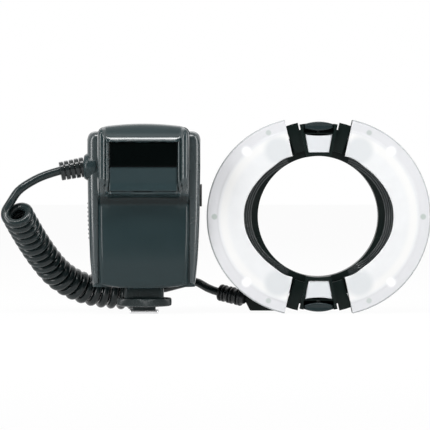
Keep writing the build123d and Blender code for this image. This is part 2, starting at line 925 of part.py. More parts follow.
def biarc(start, start_way, end, end_way):
    """Two arcs that leave one point and reach another in given directions."""
    across = end - start
    ways = start_way + end_way
    spread = 2 * (1 - start_way.dot(end_way))
    along = across.dot(ways)
    reach = (sqrt(along ** 2 + spread * across.dot(across)) - along) / spread
    near = start + start_way * reach
    far = end - end_way * reach
    middle = (near + far) / 2
    return [Edge.make_tangent_arc(start, start_way, middle),
            Edge.make_tangent_arc(middle, far - near, end)]


def curl_ends():
    """Both ends of the curls with their straight ends, and their directions."""
    knots = curl_knots()
    first, first_way = knots[0]
    last, last_way = knots[-1]
    straight = 2 * cord_radius
    return first - first_way * straight, first_way, last + last_way * straight, last_way


def make_cord_curls():
    """Curly stretch as one unbroken tube."""
    knots = curl_knots()
    start, start_way, end, end_way = curl_ends()
    edges = [Edge.make_line(start, knots[0][0])]
    for (near, near_way), (far, far_way) in zip(knots, knots[1:]):
        edges += biarc(near, near_way, far, far_way)
    edges.append(Edge.make_line(knots[-1][0], end))
    path = Wire(edges)
    tube = sweep(Plane(origin=start, z_dir=start_way) * Circle(cord_radius), path=path)
    print("curls: length", round(path.length, 1), "volume over section times length",
          round(tube.volume / (Circle(cord_radius).area * path.length), 4))
    print("curls: least gap to itself", round(least_gap(edges), 2))
    return tube


def least_gap(edges):
    """Least distance between two stretches of the curls, less the wire's thickness."""
    points = [edge @ (step / curl_steps) for edge in edges for step in range(0, curl_steps, 2)]
    spots = [(point.X, point.Y, point.Z) for point in points]
    apart = curl_steps
    least = min((a[0] - b[0]) ** 2 + (a[1] - b[1]) ** 2 + (a[2] - b[2]) ** 2
                for index, a in enumerate(spots) for b in spots[index + apart:])
    return sqrt(least) - 2 * cord_radius


def lead_tube(name, points):
    """Round tube of straight runs joined by tangent arcs."""
    spots = [Vector(*point) for point in points]
    runs = [after - before for before, after in zip(spots, spots[1:])]
    radii = []
    for before, after in zip(runs, runs[1:]):
        turn = radians(before.get_angle(after))
        radii.append(arc_share * min(before.length, after.length) / tan(turn / 2))
    path = FilletPolyline(*spots, radius=radii)
    tube = sweep(Plane(origin=spots[0], z_dir=runs[0]) * Circle(cord_radius), path=path)
    print(name, "length", round(path.length, 1), "radii", [round(radius, 1) for radius in radii],
          "volume over section times length", round(tube.volume / (Circle(cord_radius).area * path.length), 4))
    return tube


def make_cord_lead_upper():
    """Cord from the control unit's relief to the first curl."""
    start, start_way, end, end_way = curl_ends()
    run = (Vector(*lead_upper_middle[-1]) - start).length / 2
    before = start - start_way * run
    return lead_tube("upper lead:", [lead_upper_start, *lead_upper_middle, tuple(before), tuple(start)])


def make_cord_lead_lower():
    """Cord from the last curl to the ring's relief."""
    start, start_way, end, end_way = curl_ends()
    run = (Vector(*lead_lower_middle[0]) - end).length / 2
    after = end + end_way * run
    return lead_tube("lower lead:", [tuple(end), tuple(after), *lead_lower_middle, lead_lower_end])


def half_centre():
    """Centre of the right half's arcs, drawn apart as it rests."""
    return (ring_x + half_shift, ring_z)


def to_left(shape):
    """The same piece on the ring's left."""
    return mirror(shape, about=Plane(origin=(ring_x, 0, 0), z_dir=(1, 0, 0)))


def to_bottom(shape):
    """The same piece at the ring's bottom."""
    return mirror(shape, about=Plane(origin=(0, 0, ring_z), z_dir=(0, 0, 1)))


def half_band(inner, outer, span, front, rear):
    """Stretch of the right half, the same above and below its middle."""
    return slab(band(inner, outer, -span, span, half_centre()), front, rear)


def make_lamp_housing():
    """Shell of one half: lamp chamber in front, narrower box behind."""
    span = 90 - cut_degrees
    chamber_span = span - end_set_back_degrees
    front = ring_front + diffuser_thickness + seat_gap
    floor_front = chamber_floor_rear - half_wall
    shell = half_band(half_outer_radius - half_wall, half_outer_radius, span, front, half_rear)
    shell += half_band(half_inner_radius, half_inner_radius + half_wall, chamber_span,
                       front, chamber_floor_rear)
    shell += half_band(half_inner_radius, half_outer_radius, span, floor_front, chamber_floor_rear)
    shell += half_band(rear_box_radius, rear_box_radius + half_wall, span, floor_front, half_rear)
    shell += half_band(rear_box_radius, half_outer_radius, span, half_rear - half_wall, half_rear)
    for side in (-1, 1):
        ends = [(chamber_span, half_inner_radius, front, chamber_floor_rear),
                (span, rear_box_radius, floor_front, half_rear)]
        for end, inner, near, rear in ends:
            outline = band(inner, half_outer_radius, side * (end - end_wall_degrees), side * end, half_centre())
            shell += slab(outline, near, rear)
        z = ring_z + side * rod_height
        shell -= rod(rod_radius + fit_gap, (ring_x, rod_y, z), (ring_x + rod_half_length, rod_y, z))
    return shell


def make_diffuser():
    """Frosted cover of one half."""
    span = 90 - cut_degrees
    cover = half_band(half_inner_radius, half_outer_radius, span, ring_front, ring_front + diffuser_thickness)
    return fillet(cover.edges().group_by(Axis.Y)[0], diffuser_edge)


def make_reflector():
    """Bright trough behind one flash tube."""
    span = 90 - cut_degrees - end_set_back_degrees - end_wall_degrees - reflector_margin_degrees
    inner = half_inner_radius + half_wall + seat_gap
    outer = half_outer_radius - half_wall - seat_gap
    rear = chamber_floor_rear - half_wall - seat_gap
    trough = half_band(inner, outer, span, reflector_front, rear)
    thickness = reflector_thickness
    return trough - half_band(inner + thickness, outer - thickness, span,
                              reflector_front - overrun, rear - thickness)


def make_flash_tube():
    """Curved xenon tube of one half, with a thinner electrode at each end."""
    centre = half_centre()

    def spot(angle):
        x, z = polar(tube_path_radius, angle, centre)
        return (x, tube_y, z)

    path = ThreePointArc(spot(-tube_span_degrees), spot(0), spot(tube_span_degrees))
    tube = sweep(Plane(origin=path @ 0, z_dir=path % 0) * Circle(tube_radius), path=path)
    for end, way in ((path @ 0, -(path % 0)), (path @ 1, path % 1)):
        tube += rod(electrode_radius, tuple(end), tuple(end + way * electrode_length))
    return tube


def ring_band(inner, outer, front, rear):
    """Full ring round the ring's own centre."""
    outline = Circle(outer) - Circle(inner)
    return slab(Pos(*ring_centre) * outline, front, rear)


def lamp_window_outline(gap):
    """Trapezoid of the top lamp window."""
    low = ring_z + lamp_window_inner - gap
    high = ring_z + lamp_window_outer + gap
    narrow = lamp_window_inner_half + gap
    wide = lamp_window_outer_half + gap
    return make_face(Polyline((ring_x - narrow, low), (ring_x + narrow, low), (ring_x + wide, high),
                              (ring_x - wide, high), (ring_x - narrow, low)))


def make_guide_block():
    """Fixed block at the top, between the halves, with its two prongs and its rod's lug."""
    half = cut_degrees - block_gap_degrees
    block_face = band(bore_radius, block_outer_radius, 90 - half, 90 + half, ring_centre)
    guide = slab(block_face, block_front, frame_front)
    prongs = band(prong_inner_radius, prong_notch_radius, 90 - prong_degrees, 90 + prong_degrees, ring_centre)
    for start, end in [(-prong_degrees, -prong_notch_degrees), (prong_notch_degrees, prong_degrees)]:
        prongs += band(prong_inner_radius, prong_outer_radius, 90 + start, 90 + end, ring_centre)
    guide += slab(prongs, prong_front, prong_rear)
    guide += block(ring_x - lug_half_width, ring_x + lug_half_width, frame_front, half_rear,
                   ring_z + lug_inner, ring_z + block_outer_radius - wall)
    guide -= slab(lamp_window_outline(seat_gap), block_front - overrun, lamp_pocket_rear)
    side = button_half_width + button_gap
    guide -= block(ring_x - side, ring_x + side, block_front - overrun, button_rear + button_gap,
                   ring_z + button_inner - button_travel - button_gap, ring_z + block_outer_radius + overrun)
    bore = spring_radius + spring_wire + seat_gap
    guide -= rod(bore, (ring_x, spring_y, ring_z + spring_seat), (ring_x, spring_y, ring_z + button_inner))
    return guide - rod(rod_radius, (ring_x - rod_half_length, rod_y, ring_z + rod_height),
                       (ring_x + rod_half_length, rod_y, ring_z + rod_height))


def ring_screw_places():
    """Where the ring's screws stand, in X and Z."""
    step = 360 / ring_screw_count
    return [polar(ring_screw_circle, index * step + step / 2, ring_centre) for index in range(ring_screw_count)]


def make_ring_frame():
    """Fixed ring round the bore with both guide blocks and the side pockets."""
    frame = ring_band(bore_radius, frame_outer_radius, frame_front, frame_rear)
    pockets = ring_band(bore_radius - overrun, pocket_radius, frame_front - overrun, frame_front + pocket_depth)
    pockets &= block(ring_x - frame_outer_radius, ring_x + frame_outer_radius, frame_front - overrun,
                     frame_rear, ring_z - pocket_half_height, ring_z + pocket_half_height)
    frame -= pockets
    guide = make_guide_block()
    frame = frame + guide + to_bottom(guide)
    for x, z in ring_screw_places():
        frame -= rod(screw_radius + seat_gap, (x, plate_rear - ring_screw_length - seat_gap, z),
                     (x, frame_rear + overrun, z))
    return frame


def make_ring_rear_plate():
    """Back plate of the ring, round the adapter bore."""
    plate = ring_band(bore_radius, plate_outer_radius, frame_rear + seat_gap, plate_rear)
    for x, z in ring_screw_places():
        plate -= rod(screw_radius + seat_gap, (x, frame_rear, z), (x, plate_rear, z))
        plate -= rod(screw_head_radius + seat_gap, (x, plate_rear - screw_head_height, z),
                     (x, plate_rear + overrun, z))
    return plate


def make_ring_screws():
    """Screws that hold the back plate on the frame."""
    screws = []
    for x, z in ring_screw_places():
        seat = plate_rear - screw_head_height
        shaft = rod(screw_radius, (x, plate_rear - ring_screw_length, z), (x, seat, z))
        screws.append(shaft + rod(screw_head_radius, (x, seat, z), (x, plate_rear - seat_gap, z)))
    return Compound(screws)


def make_ring_cable_boss():
    """Boss at the lower left that the cord goes into, seated over the back plate."""
    corners = [(ring_x + x * half_outer_radius, ring_z + z * half_outer_radius)
               for x, z in ring_boss_outline_shares]
    outline = Polyline(*corners, close=True)
    boss = slab(make_face(outline), ring_boss_front, ring_boss_rear)
    seat = Pos(*ring_centre) * Circle(plate_outer_radius + seat_gap)
    boss -= slab(seat, ring_boss_front - overrun, plate_rear + seat_gap)
    way = Vector(*ring_relief_end) - Vector(*lead_lower_end)
    beyond = Vector(*ring_relief_end) - way
    return boss - rod(ring_relief_radius + seat_gap, tuple(beyond), ring_relief_end)


def make_lamp_window():
    """Clear window of one focusing lamp."""
    return slab(lamp_window_outline(0), lamp_window_front, lamp_window_front + lamp_window_thickness)


def make_modelling_lamp():
    """Focusing lamp on its little board."""
    board = slab(lamp_window_outline(-lamp_board_inset), lamp_pocket_rear - lamp_board_thickness, lamp_pocket_rear)
    z = ring_z + (lamp_window_inner + lamp_window_outer) / 2
    seat = lamp_pocket_rear - lamp_board_thickness
    return board + rod(lamp_radius, (ring_x, seat - lamp_height, z), (ring_x, seat, z))


def make_release_button():
    """Button that frees the halves when it is pressed inwards."""
    shoulder = ring_z + button_shoulder
    low = ring_z + button_inner
    crown = ThreePointArc((ring_x - button_half_width, shoulder), (ring_x, ring_z + button_outer),
                          (ring_x + button_half_width, shoulder))
    rest = Polyline((ring_x + button_half_width, shoulder), (ring_x + button_end_half_width, low),
                    (ring_x - button_end_half_width, low), (ring_x - button_half_width, shoulder))
    return slab(make_face(crown + rest), button_front, button_rear)


def make_release_spring():
    """Small spring that pushes the button back out."""
    height = button_inner - spring_seat - 2 * (spring_wire + seat_gap)
    helix = Helix(height / spring_turns, height, spring_radius)
    coil = sweep(Plane(origin=helix @ 0, z_dir=helix % 0) * Circle(spring_wire), path=helix, is_frenet=True)
    return Pos(ring_x, spring_y, ring_z + spring_seat + spring_wire + seat_gap) * coil


def make_slide_rod():
    """Steel rod that both halves slide on."""
    z = ring_z + rod_height
    return rod(rod_radius, (ring_x - rod_half_length, rod_y, z), (ring_x + rod_half_length, rod_y, z))


def make_control_unit():
    """Write every piece of the control unit."""
    save("main_case", make_main_case() - rod(boss_radius + seat_gap, (boss_inner_x + seat_gap, boss_y, boss_z),
                                             (boss_tip_x - overrun, boss_y, boss_z)))
    save("rear_cover", make_rear_cover())
    save("case_screws", make_case_screws())
    save("front_cover", make_front_cover())
    save("sensor_window", make_sensor_window())
    save("front_panel", make_front_panel())
    save("sensor_board", make_sensor_board())
    save("display_window", make_display_window())
    save("display_module", make_display_module())
    for name, (x, z, radius) in key_outlines().items():
        save(name, make_key(x, z, radius))
    save("keypad_membrane", make_keypad_membrane())
    save("battery_door", make_battery_door())
    save("door_hinge_pin", make_door_hinge_pin())
    save("battery_magazine", make_battery_magazine())
    save("battery_cells", make_battery_cells())
    save("battery_contacts", make_battery_contacts())
    save("circuit_board", make_circuit_board())
    save("main_capacitor", make_main_capacitor())
    save("transformer", make_transformer())
    save("socket_cover", make_socket_cover())
    save("side_sockets", make_side_sockets())
    save("shoe_neck", make_shoe_neck())
    save("lock_wheel", make_lock_wheel())
    save("lock_pin", make_lock_pin())
    save("shoe_plate", make_shoe_plate())
    save("shoe_contacts", make_shoe_contacts())
    save("cord_boss", make_cord_boss())
    save("unit_strain_relief", make_unit_strain_relief())


def make_cord():
    """Write the cord's stretches and the relief at its far end."""
    save("cord_lead_upper", make_cord_lead_upper())
    save("cord_curls", make_cord_curls())
    save("cord_lead_lower", make_cord_lead_lower())
    save("ring_strain_relief", make_ring_strain_relief())


def make_ring_head():
    """Write every piece of the ring head."""
    save("ring_frame", make_ring_frame())
    save("ring_rear_plate", make_ring_rear_plate())
    save("ring_screws", make_ring_screws())
    save("ring_cable_boss", make_ring_cable_boss())
    halves = {
        "lamp_housing": make_lamp_housing(),
        "diffuser": make_diffuser(),
        "reflector": make_reflector(),
        "flash_tube": make_flash_tube(),
    }
    for name, shape in halves.items():
        save("right_" + name, shape)
        save("left_" + name, to_left(shape))
    ends = {
        "lamp_window": make_lamp_window(),
        "modelling_lamp": make_modelling_lamp(),
        "release_button": make_release_button(),
        "release_spring": make_release_spring(),
        "slide_rod": make_slide_rod(),
    }
    for name, shape in ends.items():
        save("top_" + name, shape)
        save("bottom_" + name, to_bottom(shape))


make_control_unit()
make_cord()
make_ring_head()
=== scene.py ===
# %% [markdown]
# A macro ring flash in three parts: a control unit that stands on its shoe foot, a curly cord,
# and a ring head whose two frosted lamp halves are drawn apart. The solid pieces come from the
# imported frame. This file gives them their finishes and adds the pieces that carry fine detail.

# %% Load the frame
import json
from math import cos, pi, radians, sin

import bpy
from mathutils import Matrix, Vector


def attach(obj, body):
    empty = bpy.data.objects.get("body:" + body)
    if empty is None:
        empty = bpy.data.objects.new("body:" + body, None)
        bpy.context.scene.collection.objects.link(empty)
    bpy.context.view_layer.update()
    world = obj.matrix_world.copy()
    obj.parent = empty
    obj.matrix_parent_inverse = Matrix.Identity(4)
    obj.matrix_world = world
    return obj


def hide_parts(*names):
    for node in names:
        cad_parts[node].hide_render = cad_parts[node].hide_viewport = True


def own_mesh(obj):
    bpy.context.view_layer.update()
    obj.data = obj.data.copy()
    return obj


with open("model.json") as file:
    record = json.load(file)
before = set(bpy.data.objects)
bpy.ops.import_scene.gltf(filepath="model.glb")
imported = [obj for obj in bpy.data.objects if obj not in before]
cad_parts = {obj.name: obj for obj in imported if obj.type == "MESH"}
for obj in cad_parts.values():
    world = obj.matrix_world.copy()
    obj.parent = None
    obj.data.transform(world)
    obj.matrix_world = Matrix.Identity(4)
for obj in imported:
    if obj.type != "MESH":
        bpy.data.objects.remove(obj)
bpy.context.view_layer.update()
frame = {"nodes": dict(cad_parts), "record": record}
nodes = frame["nodes"]
scene = bpy.context.scene
scene.view_settings.view_transform = "Standard"
mm = 0.001
ring_place = (113.2 * mm, 62.73 * mm)
half_shift = 8.4 * mm
print("solid pieces in the frame:", len(nodes))

# %% [markdown]
# The photograph was taken with a long lens, a little above the middle of the flash. A camera two
# metres away with the same angle of view gives the same mild perspective. It is turned down by about
# one degree, so the rims of round parts show as very flat curves.

# %% Camera
camera_distance = 2000 * mm
camera_tilt = radians(1.2)
camera_target = Vector((46 * mm, 0, 63.7 * mm))
picture_pixels = 430
pixel_size = 0.65 * mm
focal_pixels = camera_distance / pixel_size

camera_data = bpy.data.cameras.new("camera")
camera = bpy.data.objects.new("camera", camera_data)
scene.collection.objects.link(camera)
camera.location = camera_target + camera_distance * Vector((0, -cos(camera_tilt), sin(camera_tilt)))
camera.rotation_euler = (pi / 2 - camera_tilt, 0, 0)
camera_data.sensor_width = 36
camera_data.lens = camera_data.sensor_width * focal_pixels / picture_pixels
camera_data.clip_end = 20
scene.camera = camera
print("camera stands at", [round(value, 3) for value in camera.location])

# %% [markdown]
# The whole cord is one curve, as the real one is one cable. Its route is a smooth spline through a few
# listed points: the upper lead, the line that the curls wind round, and the lower lead. The curls
# are worked out from that line, turn by turn, and become more points of the same spline. Every point
# carries the cord's radius as its own, so the round section that follows the spline has a depth of 1.

# %% Helpers for smooth routes
def spline_curve(name, points):
    """A smooth curve object with the given control points."""
    data = bpy.data.curves.new(name, "CURVE")
    data.dimensions = "3D"
    spline = data.splines.new("NURBS")
    spline.points.add(len(points) - 1)
    for control, point in zip(spline.points, points):
        control.co = (*point, 1)
        control.radius = cord_radius
    spline.order_u = 3
    spline.use_endpoint_u = True
    curve = bpy.data.objects.new(name, data)
    scene.collection.objects.link(curve)
    return curve


def points_along(points, resolution):
    """Points read from the smooth spline of a route."""
    guide = spline_curve("guide", points)
    guide.data.splines[0].resolution_u = resolution
    bpy.context.view_layer.update()
    mesh = bpy.data.meshes.new_from_object(guide)
    line = [vertex.co.copy() for vertex in mesh.vertices]
    bpy.data.meshes.remove(mesh)
    data = guide.data
    bpy.data.objects.remove(guide)
    bpy.data.curves.remove(data)
    return line


def even_steps(line, count):
    """Points in equal steps along a line, and its length."""
    lengths = [0.0]
    for before, after in zip(line, line[1:]):
        lengths.append(lengths[-1] + (after - before).length)
    spots = []
    at = 0
    for index in range(count + 1):
        wanted = lengths[-1] * index / count
        while at < len(line) - 2 and lengths[at + 1] < wanted:
            at += 1
        share = (wanted - lengths[at]) / max(lengths[at + 1] - lengths[at], 1e-9)
        spots.append(line[at].lerp(line[at + 1], share))
    return spots, lengths[-1]


# %% Route of the cord
cord_radius = 2.75 * mm
curl_radius = 7.8 * mm
curl_count = 22
curl_steps = 16
axis_steps = 1200
tail_reach = 2.6
curl_start = radians(135)
tail_turns = 1.25
tail_stretch = 7 * mm
lead_upper = [(-54.1, -9.6, 92.6), (-62.6, -10.6, 90.3), (-71.6, -13.6, 86.2), (-80.6, -18.4, 80.2)]
curl_axis = [
    (-81.9, -22.0, 66.2), (-77.2, -7.0, 55.2), (-68.2, 12.0, 38.4), (-56.4, 28.6, 22.2),
    (-38.6, 39.0, 12.8), (-17.0, 42.8, 10.2), (0.0, 42.4, 10.4), (14.0, 39.6, 14.6),
]
lead_lower = [(33.6, 32.4, 19.6), (42.3, 28.92, 13.84), (49.6, 25.0, 12.2)]


def in_metres(points):
    """Route points in metres."""
    return [Vector(point) * mm for point in points]


def curl_points():
    """Points of the curls, which unwind into a straight tail at their lower end."""
    line, total = even_steps(points_along(in_metres(curl_axis), 64), axis_steps)
    pitch = (total - tail_stretch) / curl_count
    normal = Vector((1, 0, 0))
    points = []
    for index in range(curl_count * curl_steps + 1):
        turns = index / curl_steps
        tail = max(0, turns - (curl_count - tail_turns)) / tail_turns
        at = min((pitch * turns + tail_stretch * tail ** 2) / total, 1) * (len(line) - 1)
        low = min(int(at), len(line) - 2)
        spot = line[low].lerp(line[low + 1], at - low)
        way = (line[low + 1] - line[low]).normalized()
        normal = (normal - way * normal.dot(way)).normalized()
        side = normal.cross(way)
        angle = curl_start + 2 * pi * turns
        radius = curl_radius * (1 - tail ** 2 * (3 - 2 * tail))
        points.append(spot + normal * radius * cos(angle) + side * radius * sin(angle))
    return points


curls = curl_points()
straight = 2 * cord_radius
first_way = (curls[0] - curls[1]).normalized()
last_way = (curls[-1] - curls[-2]).normalized()
route = in_metres(lead_upper)
route.append(curls[0] + first_way * straight)
route += curls
route += [curls[-1] + last_way * straight, curls[-1] + last_way * tail_reach * straight]
route += in_metres(lead_lower)
curly_cord = spline_curve("curly_cord", route)
curly_cord.data.splines[0].resolution_u = 3
curly_cord.data.bevel_depth = 1.0
curly_cord.data.bevel_resolution = 5
cord_line = points_along(route, 6)
cord_length = sum((after - before).length for before, after in zip(cord_line, cord_line[1:]))
print("cord length in metres:", round(cord_length, 3))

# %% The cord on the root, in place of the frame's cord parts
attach(curly_cord, "root")
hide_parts("cord_lead_upper", "cord_curls", "cord_lead_lower")
tuple(route[0])

# %% [markdown]
# A product photograph of this kind is lit by large soft lamps and stands on white. The world and the
# floor are white where the camera or a reflection sees them, and a plain pale grey for the light that
# they give, so the object is lit at a plain level while its surroundings still look white. Behind the
# camera the room turns grey, because polished plastic mirrors that side, and a white room there would
# wash out its dark colour.

# %% World and floor
room_grey = 0.15
world_light = 0.18
grey_until, white_from = -0.7, 0.3
floor_glow = 0.96


def add_node(tree, kind, feeds=None, **settings):
    """Node with its settings, and with inputs that are linked to a socket or set to a value."""
    node = tree.nodes.new(kind)
    for name, value in settings.items():
        setattr(node, name, value)
    for place, value in (feeds or {}).items():
        if isinstance(value, bpy.types.NodeSocket):
            tree.links.new(value, node.inputs[place])
        else:
            node.inputs[place].default_value = value
    return node


def maths(tree, operation, *values):
    """Result of a math node on sockets or numbers."""
    return add_node(tree, "ShaderNodeMath", dict(enumerate(values)), operation=operation).outputs[0]


def light_path_white(tree):
    """1 where the camera, a reflection or glass looks at the surface, else 0."""
    rays = add_node(tree, "ShaderNodeLightPath").outputs
    seen = maths(tree, "MAXIMUM", rays["Is Camera Ray"], rays["Is Glossy Ray"])
    return maths(tree, "MAXIMUM", seen, rays["Is Transmission Ray"])


def make_world():
    """White surroundings behind the object, which turn grey towards the camera's side of the room."""
    world = bpy.data.worlds.new("studio")
    world.use_nodes = True
    scene.world = world
    tree = world.node_tree
    place = add_node(tree, "ShaderNodeTexCoord")
    axes = add_node(tree, "ShaderNodeSeparateXYZ", {0: place.outputs["Generated"]})
    depth = add_node(tree, "ShaderNodeMapRange",
                     {"Value": axes.outputs["Y"], "From Min": grey_until, "From Max": white_from,
                      "To Min": room_grey}, interpolation_type="SMOOTHSTEP")
    strength = add_node(tree, "ShaderNodeMapRange",
                        {"Value": light_path_white(tree), "To Min": world_light, "To Max": 1.0})
    background = tree.nodes["Background"]
    tree.links.new(depth.outputs[0], background.inputs["Color"])
    tree.links.new(strength.outputs[0], background.inputs["Strength"])


def make_floor():
    """Pale floor that keeps a faint shadow under the object."""
    bpy.ops.object.select_all(action="DESELECT")
    bpy.ops.mesh.primitive_plane_add(size=8)
    floor = bpy.context.object
    floor.name = "floor"
    material = bpy.data.materials.new("pale floor")
    material.use_nodes = True
    tree = material.node_tree
    surface = tree.nodes["Principled BSDF"]
    surface.inputs["Base Color"].default_value = (0.9, 0.9, 0.9, 1)
    surface.inputs["Roughness"].default_value = 0.9
    surface.inputs["Specular IOR Level"].default_value = 0.1
    glow = add_node(tree, "ShaderNodeEmission")
    share = maths(tree, "MULTIPLY", light_path_white(tree), floor_glow)
    blend = add_node(tree, "ShaderNodeMixShader",
                     {"Fac": share, 1: surface.outputs[0], 2: glow.outputs[0]})
    tree.links.new(blend.outputs[0], tree.nodes["Material Output"].inputs["Surface"])
    floor.data.materials.append(material)


make_world()
make_floor()
print("floor and world are in place")

# %% Lamps
def soft_lamp(name, place, aim, size, height, watts):
    """Rectangular lamp that faces a point."""
    data = bpy.data.lights.new(name, "AREA")
    data.shape = "RECTANGLE"
    data.size = size
    data.size_y = height
    data.energy = watts
    lamp = bpy.data.objects.new(name, data)
    scene.collection.objects.link(lamp)
    lamp.location = place
    way = Vector(aim) - Vector(place)
    lamp.rotation_euler = way.to_track_quat("-Z", "Y").to_euler()


unit_middle = (0, 0, 0.07)
hood_top = (0, 0, 0.12)
set_middle = (0.04, 0, 0.06)
soft_lamp("left lamp", (-0.80, -0.55, 0.35), unit_middle, 0.28, 1.0, 7.2)
soft_lamp("right lamp", (0.85, -0.30, 0.35), unit_middle, 0.24, 1.0, 5)
soft_lamp("top lamp", (0.0, -0.42, 0.95), hood_top, 0.9, 0.18, 8)
soft_lamp("back lamp", (0.0, 0.9, 0.8), set_middle, 1.0, 0.5, 2)

# %% [markdown]
# Moulded plastic is never one flat colour. Up close it has the fine spark grain of its mould, its tone
# drifts a little, and handling leaves patches that shine more than others. These three effects are used
# by nearly every finish here, so each is a node group that is built once.

# %% Node groups for grain, tone and handling
def new_group(name, inputs, output, kind):
    """Empty shader group with its inputs and its output, and its two end nodes."""
    group = bpy.data.node_groups.new(name, "ShaderNodeTree")
    group.interface.new_socket(name="Vector", in_out="INPUT", socket_type="NodeSocketVector")
    for socket, socket_kind, value in inputs:
        made = group.interface.new_socket(name=socket, in_out="INPUT", socket_type=socket_kind)
        made.default_value = value
    group.interface.new_socket(name=output, in_out="OUTPUT", socket_type=kind)
    return group, group.nodes.new("NodeGroupInput"), group.nodes.new("NodeGroupOutput")


def noise_node(tree, scale, vector, detail, rough):
    """Noise texture with its scale and its place given by sockets."""
    return add_node(tree, "ShaderNodeTexNoise",
                    {"Scale": scale, "Vector": vector, "Detail": detail, "Roughness": rough})


def make_grain_group():
    """Height of a fine mould grain: pebbles with a little noise over them."""
    group, start, end = new_group(
        "mould grain", [("Scale", "NodeSocketFloat", 1400.0)], "Height", "NodeSocketFloat")
    place, scale = start.outputs["Vector"], start.outputs["Scale"]
    pebbles = add_node(group, "ShaderNodeTexVoronoi", {"Vector": place, "Scale": scale},
                       feature="SMOOTH_F1")
    noise = noise_node(group, scale, place, 3.0, 0.6)
    blend = add_node(group, "ShaderNodeMix",
                     {"Factor": 0.55, "A": pebbles.outputs["Distance"], "B": noise.outputs["Fac"]})
    group.links.new(blend.outputs["Result"], end.inputs["Height"])
    return group


def make_tone_group():
    """A colour that drifts a little lighter and darker over the surface."""
    group, start, end = new_group(
        "tone drift", [("Color", "NodeSocketColor", (0, 0, 0, 1)), ("Scale", "NodeSocketFloat", 40.0),
                       ("Amount", "NodeSocketFloat", 0.1)], "Color", "NodeSocketColor")
    noise = noise_node(group, start.outputs["Scale"], start.outputs["Vector"], 4.0, 0.55)
    centred = maths(group, "SUBTRACT", noise.outputs["Fac"], 0.5)
    gain = maths(group, "MULTIPLY_ADD", centred, start.outputs["Amount"], 1.0)
    scaled = add_node(group, "ShaderNodeVectorMath", {0: start.outputs["Color"], "Scale": gain},
                      operation="SCALE")
    group.links.new(scaled.outputs[0], end.inputs["Color"])
    return group


def make_handling_group():
    """Roughness between two values, smoother where hands have polished it."""
    group, start, end = new_group(
        "handling", [("Scale", "NodeSocketFloat", 55.0), ("Smooth", "NodeSocketFloat", 0.35),
                     ("Rough", "NodeSocketFloat", 0.5)], "Roughness", "NodeSocketFloat")
    noise = noise_node(group, start.outputs["Scale"], start.outputs["Vector"], 5.0, 0.6)
    spread = add_node(group, "ShaderNodeMapRange",
                      {"Value": noise.outputs["Fac"], "From Min": 0.36, "From Max": 0.64,
                       "To Min": start.outputs["Smooth"], "To Max": start.outputs["Rough"]})
    group.links.new(spread.outputs[0], end.inputs["Roughness"])
    return group


grain_group = make_grain_group()
tone_group = make_tone_group()
handling_group = make_handling_group()
print("node groups:", [group.name for group in bpy.data.node_groups])

# %% [markdown]
# A finish then takes these groups with its own values. The functions below make the plain families:
# plastics and rubber, which differ in colour, gloss and depth of grain, and metals, which have a drawn
# or turned texture in one direction.

# %% Helpers for finishes
def group_node(tree, group, vector, **values):
    """Places a group in a material and sets its inputs."""
    return add_node(tree, "ShaderNodeGroup", {"Vector": vector, **values}, node_tree=group)


def new_material(name):
    """Material with its tree, its Principled shader and Object coordinates."""
    material = bpy.data.materials.new(name)
    material.use_nodes = True
    tree = material.node_tree
    place = tree.nodes.new("ShaderNodeTexCoord")
    return material, tree, tree.nodes["Principled BSDF"], place.outputs["Object"]


def add_bump(tree, shader, height, strength, distance):
    """Feeds a height into the shader's normal."""
    bump = add_node(tree, "ShaderNodeBump", {"Strength": strength, "Distance": distance, "Height": height})
    tree.links.new(bump.outputs[0], shader.inputs["Normal"])


def base_finish(name, color, smooth, rough, drift, **touch_values):
    """Material whose colour drifts and whose roughness shows handling."""
    material, tree, shader, place = new_material(name)
    tone = group_node(tree, tone_group, place, Color=(*color, 1), Amount=drift)
    touch = group_node(tree, handling_group, place, Smooth=smooth, Rough=rough, **touch_values)
    tree.links.new(tone.outputs["Color"], shader.inputs["Base Color"])
    tree.links.new(touch.outputs["Roughness"], shader.inputs["Roughness"])
    return material, tree, shader, place


def plastic(name, color, smooth, rough, grain=1400.0, depth=0.04 * mm, drift=0.12, specular=0.5,
            coat=0.0):
    """Moulded plastic or rubber."""
    material, tree, shader, place = base_finish(name, color, smooth, rough, drift)
    height = group_node(tree, grain_group, place, Scale=grain)
    add_bump(tree, shader, height.outputs["Height"], 0.5, depth)
    shader.inputs["Specular IOR Level"].default_value = specular
    shader.inputs["Coat Weight"].default_value = coat
    shader.inputs["Coat Roughness"].default_value = 0.08
    return material


def metal(name, color, smooth, rough, stretch=(1, 1, 1), scale=900.0):
    """Bare metal with a texture drawn along one direction."""
    material, tree, shader, place = base_finish(name, color, smooth, rough, 0.1, Scale=160.0)
    mapping = add_node(tree, "ShaderNodeMapping", {"Scale": stretch, "Vector": place})
    lines = add_node(tree, "ShaderNodeTexNoise",
                     {"Scale": scale, "Detail": 3.0, "Vector": mapping.outputs[0]})
    add_bump(tree, shader, lines.outputs["Fac"], 0.35, 0.02 * mm)
    shader.inputs["Metallic"].default_value = 1.0
    return material


